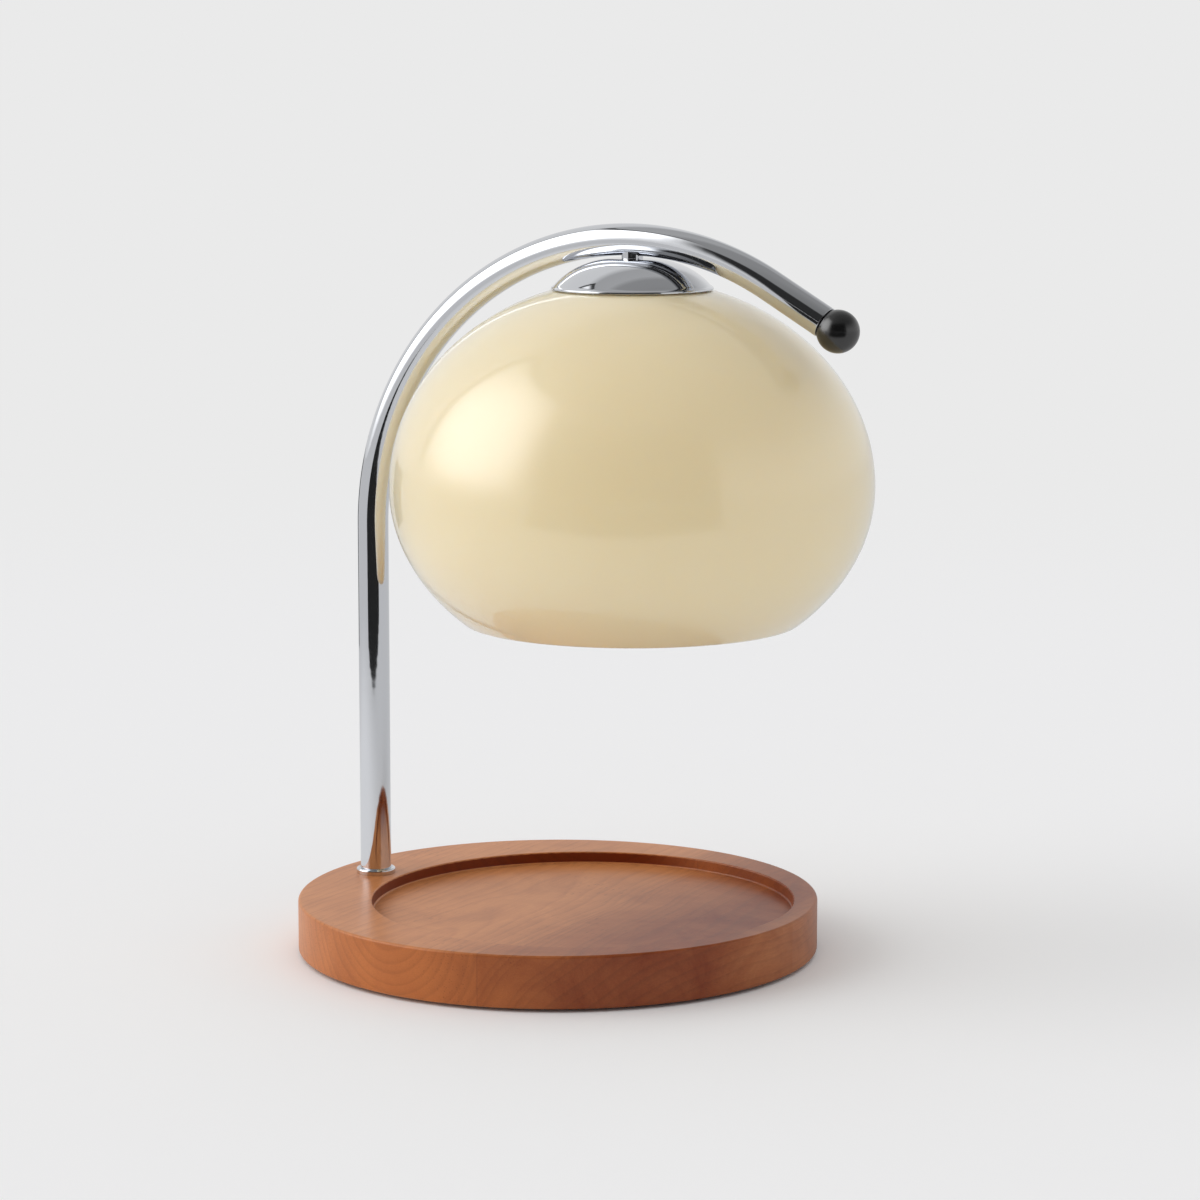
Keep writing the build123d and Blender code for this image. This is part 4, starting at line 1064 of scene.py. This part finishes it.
def studio_room(studio):
    """The world: soft light all round, and for mirrors a grey ceiling, a dark side and a softbox."""
    world = bpy.data.worlds.new("studio_room")
    add = emptied(world)
    way = add("TexCoord").outputs["Generated"]
    rise = add("SeparateXYZ", {0: way}).outputs["Z"]
    ahead, aside = (
        add("VectorMath", {0: way, 1: (*level, 0.0)}, operation="DOT_PRODUCT")
        for level in (TO_CAMERA, TO_RIGHT)
    )
    # the bearing is 0 on the camera's side and grows to its right, in degrees
    around = add("Math", {0: aside, 1: ahead}, operation="ARCTAN2")
    bearing = add("Math", {0: around}, operation="DEGREES")
    unlit = within(add, ((bearing, -52, -44), (bearing, 43, 40), (rise, 0.74, 0.66)))
    soft = add(
        "MapRange",
        {
            "Value": rise, "From Min": 0.1, "From Max": 0.9, "To Min": studio.walls,
            "To Max": studio.ceiling,
        },
        interpolation_type="SMOOTHSTEP",
    )
    ambient = add("Mix", {"Factor": unlit, "A": soft, "B": studio.unlit})
    shaded = within(add, ((bearing, 30, 80), (bearing, 160, 120)))
    ambient = add("Mix", {"Factor": shaded, "A": ambient, "B": studio.shaded})
    across = add("Math", {0: ahead, 1: 1.3, 2: aside}, operation="MULTIPLY_ADD")
    sweep = add("MapRange", {"Value": across, "From Min": -1.1, "From Max": 0.9})
    ceiling = add(
        "ValToRGB", {"Fac": sweep},
        stops=[(0.08, 0.74), (0.18, 0.43), (0.4, 0.45), (0.5, 0.31), (0.7, 0.3), (1.0, 0.2)],
    )
    grey = add(
        "MapRange", {"Value": rise, "From Min": 0.15, "From Max": 0.7, "To Min": 0.78, "To Max": ceiling},
        interpolation_type="SMOOTHSTEP",
    )
    # the softbox stands on the left in a thin black frame: its cloth gives 1.04 at the edge and
    # 2.3 more in the middle
    to_key = Vector(TO_KEY).normalized()
    near_key = add("VectorMath", {0: way, 1: to_key}, operation="DOT_PRODUCT")
    edge, middle = (math.cos(math.radians(spread)) for spread in (38, 5))
    core = within(add, ((near_key, edge, middle),))
    cloth = add("Math", {0: core, 1: 2.3, 2: 1.04}, operation="MULTIPLY_ADD")
    box_frame = within(
        add, ((bearing, -124, -123), (bearing, -46, -62), (rise, 0.0, 0.2), (rise, 0.87, 0.86))
    )
    box_cloth = within(
        add, ((bearing, -121, -117), (bearing, -45, -62), (rise, -0.04, 0.16), (rise, 0.85, 0.81))
    )
    # what mirrors see: the unlit side and the frame are nearly black
    mirrored = grey
    for mask, value in ((unlit, 0.03), (box_frame, 0.06), (box_cloth, cloth)):
        mirrored = add("Mix", {"Factor": mask, "A": mirrored, "B": value})
    ray = add("LightPath")
    seen = ambient
    for kind, value in (("Is Glossy Ray", mirrored), ("Is Camera Ray", BACKDROP_SEEN)):
        seen = add("Mix", {"Factor": ray.outputs[kind], "A": seen, "B": value})
    glow = add("Background", {"Color": seen})
    add("OutputWorld", {"Surface": glow})
    return world


class LAMP_OT_studio(bpy.types.Operator):
    """Set the pale table, the soft key light from the left and the camera"""

    bl_idname = "lamp.studio"
    bl_label = "Studio"

    def execute(self, context):
        scene = context.scene
        studio = scene.lamp_studio
        deselect_all()
        table_top()
        black_cloths()

        lamp_data = bpy.data.lights.new("key_light", "SUN")
        lamp_data.energy = studio.key
        lamp_data.angle = math.radians(KEY_WIDTH)
        key = bpy.data.objects.new("key_light", lamp_data)
        key.rotation_euler = Vector(TO_KEY).to_track_quat("Z", "Y").to_euler()
        # mirrors see the softbox of the world in its place
        key.visible_glossy = False
        scene.collection.objects.link(key)
        scene.world = studio_room(studio)
        scene.view_settings.view_transform = "Standard"

        camera_data = bpy.data.cameras.new("camera")
        camera_data.lens = CAMERA_LENS
        camera_data.sensor_width = 36.0
        camera = bpy.data.objects.new("camera", camera_data)
        camera.location = CAMERA_PLACE
        camera.rotation_euler = [math.radians(angle) for angle in CAMERA_TURN]
        scene.collection.objects.link(camera)
        scene.camera = camera
        return {"FINISHED"}


# ---------- sidebar and registration

STEPS = (
    LAMP_OT_board, LAMP_OT_inlet, LAMP_OT_arm, LAMP_OT_ball, LAMP_OT_shade, LAMP_OT_canopy,
    LAMP_OT_holder, LAMP_OT_bulb, LAMP_OT_studio,
)

GROUPS = {
    "lamp_arm": ArmSizes,
    "lamp_shade": ShadeSizes,
    "lamp_canopy": CanopySizes,
    "lamp_bulb": BulbSizes,
    "lamp_colours": LampColours,
    "lamp_studio": StudioSettings,
}


class LAMP_PT_sidebar(bpy.types.Panel):
    """Sizes and colours of the lamp, and the steps that make it"""

    bl_idname = "LAMP_PT_sidebar"
    bl_label = "Candle Lamp"
    bl_space_type = "VIEW_3D"
    bl_region_type = "UI"
    bl_category = "Candle Lamp"

    def draw(self, context):
        for step in STEPS:
            self.layout.operator(step.bl_idname)
        for name, group in GROUPS.items():
            box = self.layout.box()
            for setting in group.__annotations__:
                box.prop(getattr(context.scene, name), setting)


def register():
    for kind in (*GROUPS.values(), *STEPS, LAMP_PT_sidebar):
        bpy.utils.register_class(kind)
    for name, group in GROUPS.items():
        setattr(bpy.types.Scene, name, PointerProperty(type=group))


def unregister():
    for name in GROUPS:
        delattr(bpy.types.Scene, name)
    for kind in (LAMP_PT_sidebar, *STEPS[::-1], *GROUPS.values()):
        bpy.utils.unregister_class(kind)


def main():
    """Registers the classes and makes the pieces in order."""
    register()
    bpy.ops.lamp.board()
    bpy.ops.lamp.cable_inlet()
    bpy.ops.lamp.arm()
    bpy.ops.lamp.ball()
    bpy.ops.lamp.glass_shade()
    bpy.ops.lamp.canopy()
    bpy.ops.lamp.holder()
    bpy.ops.lamp.bulb()
    bpy.ops.lamp.studio()


if __name__ == "__main__":
    main()
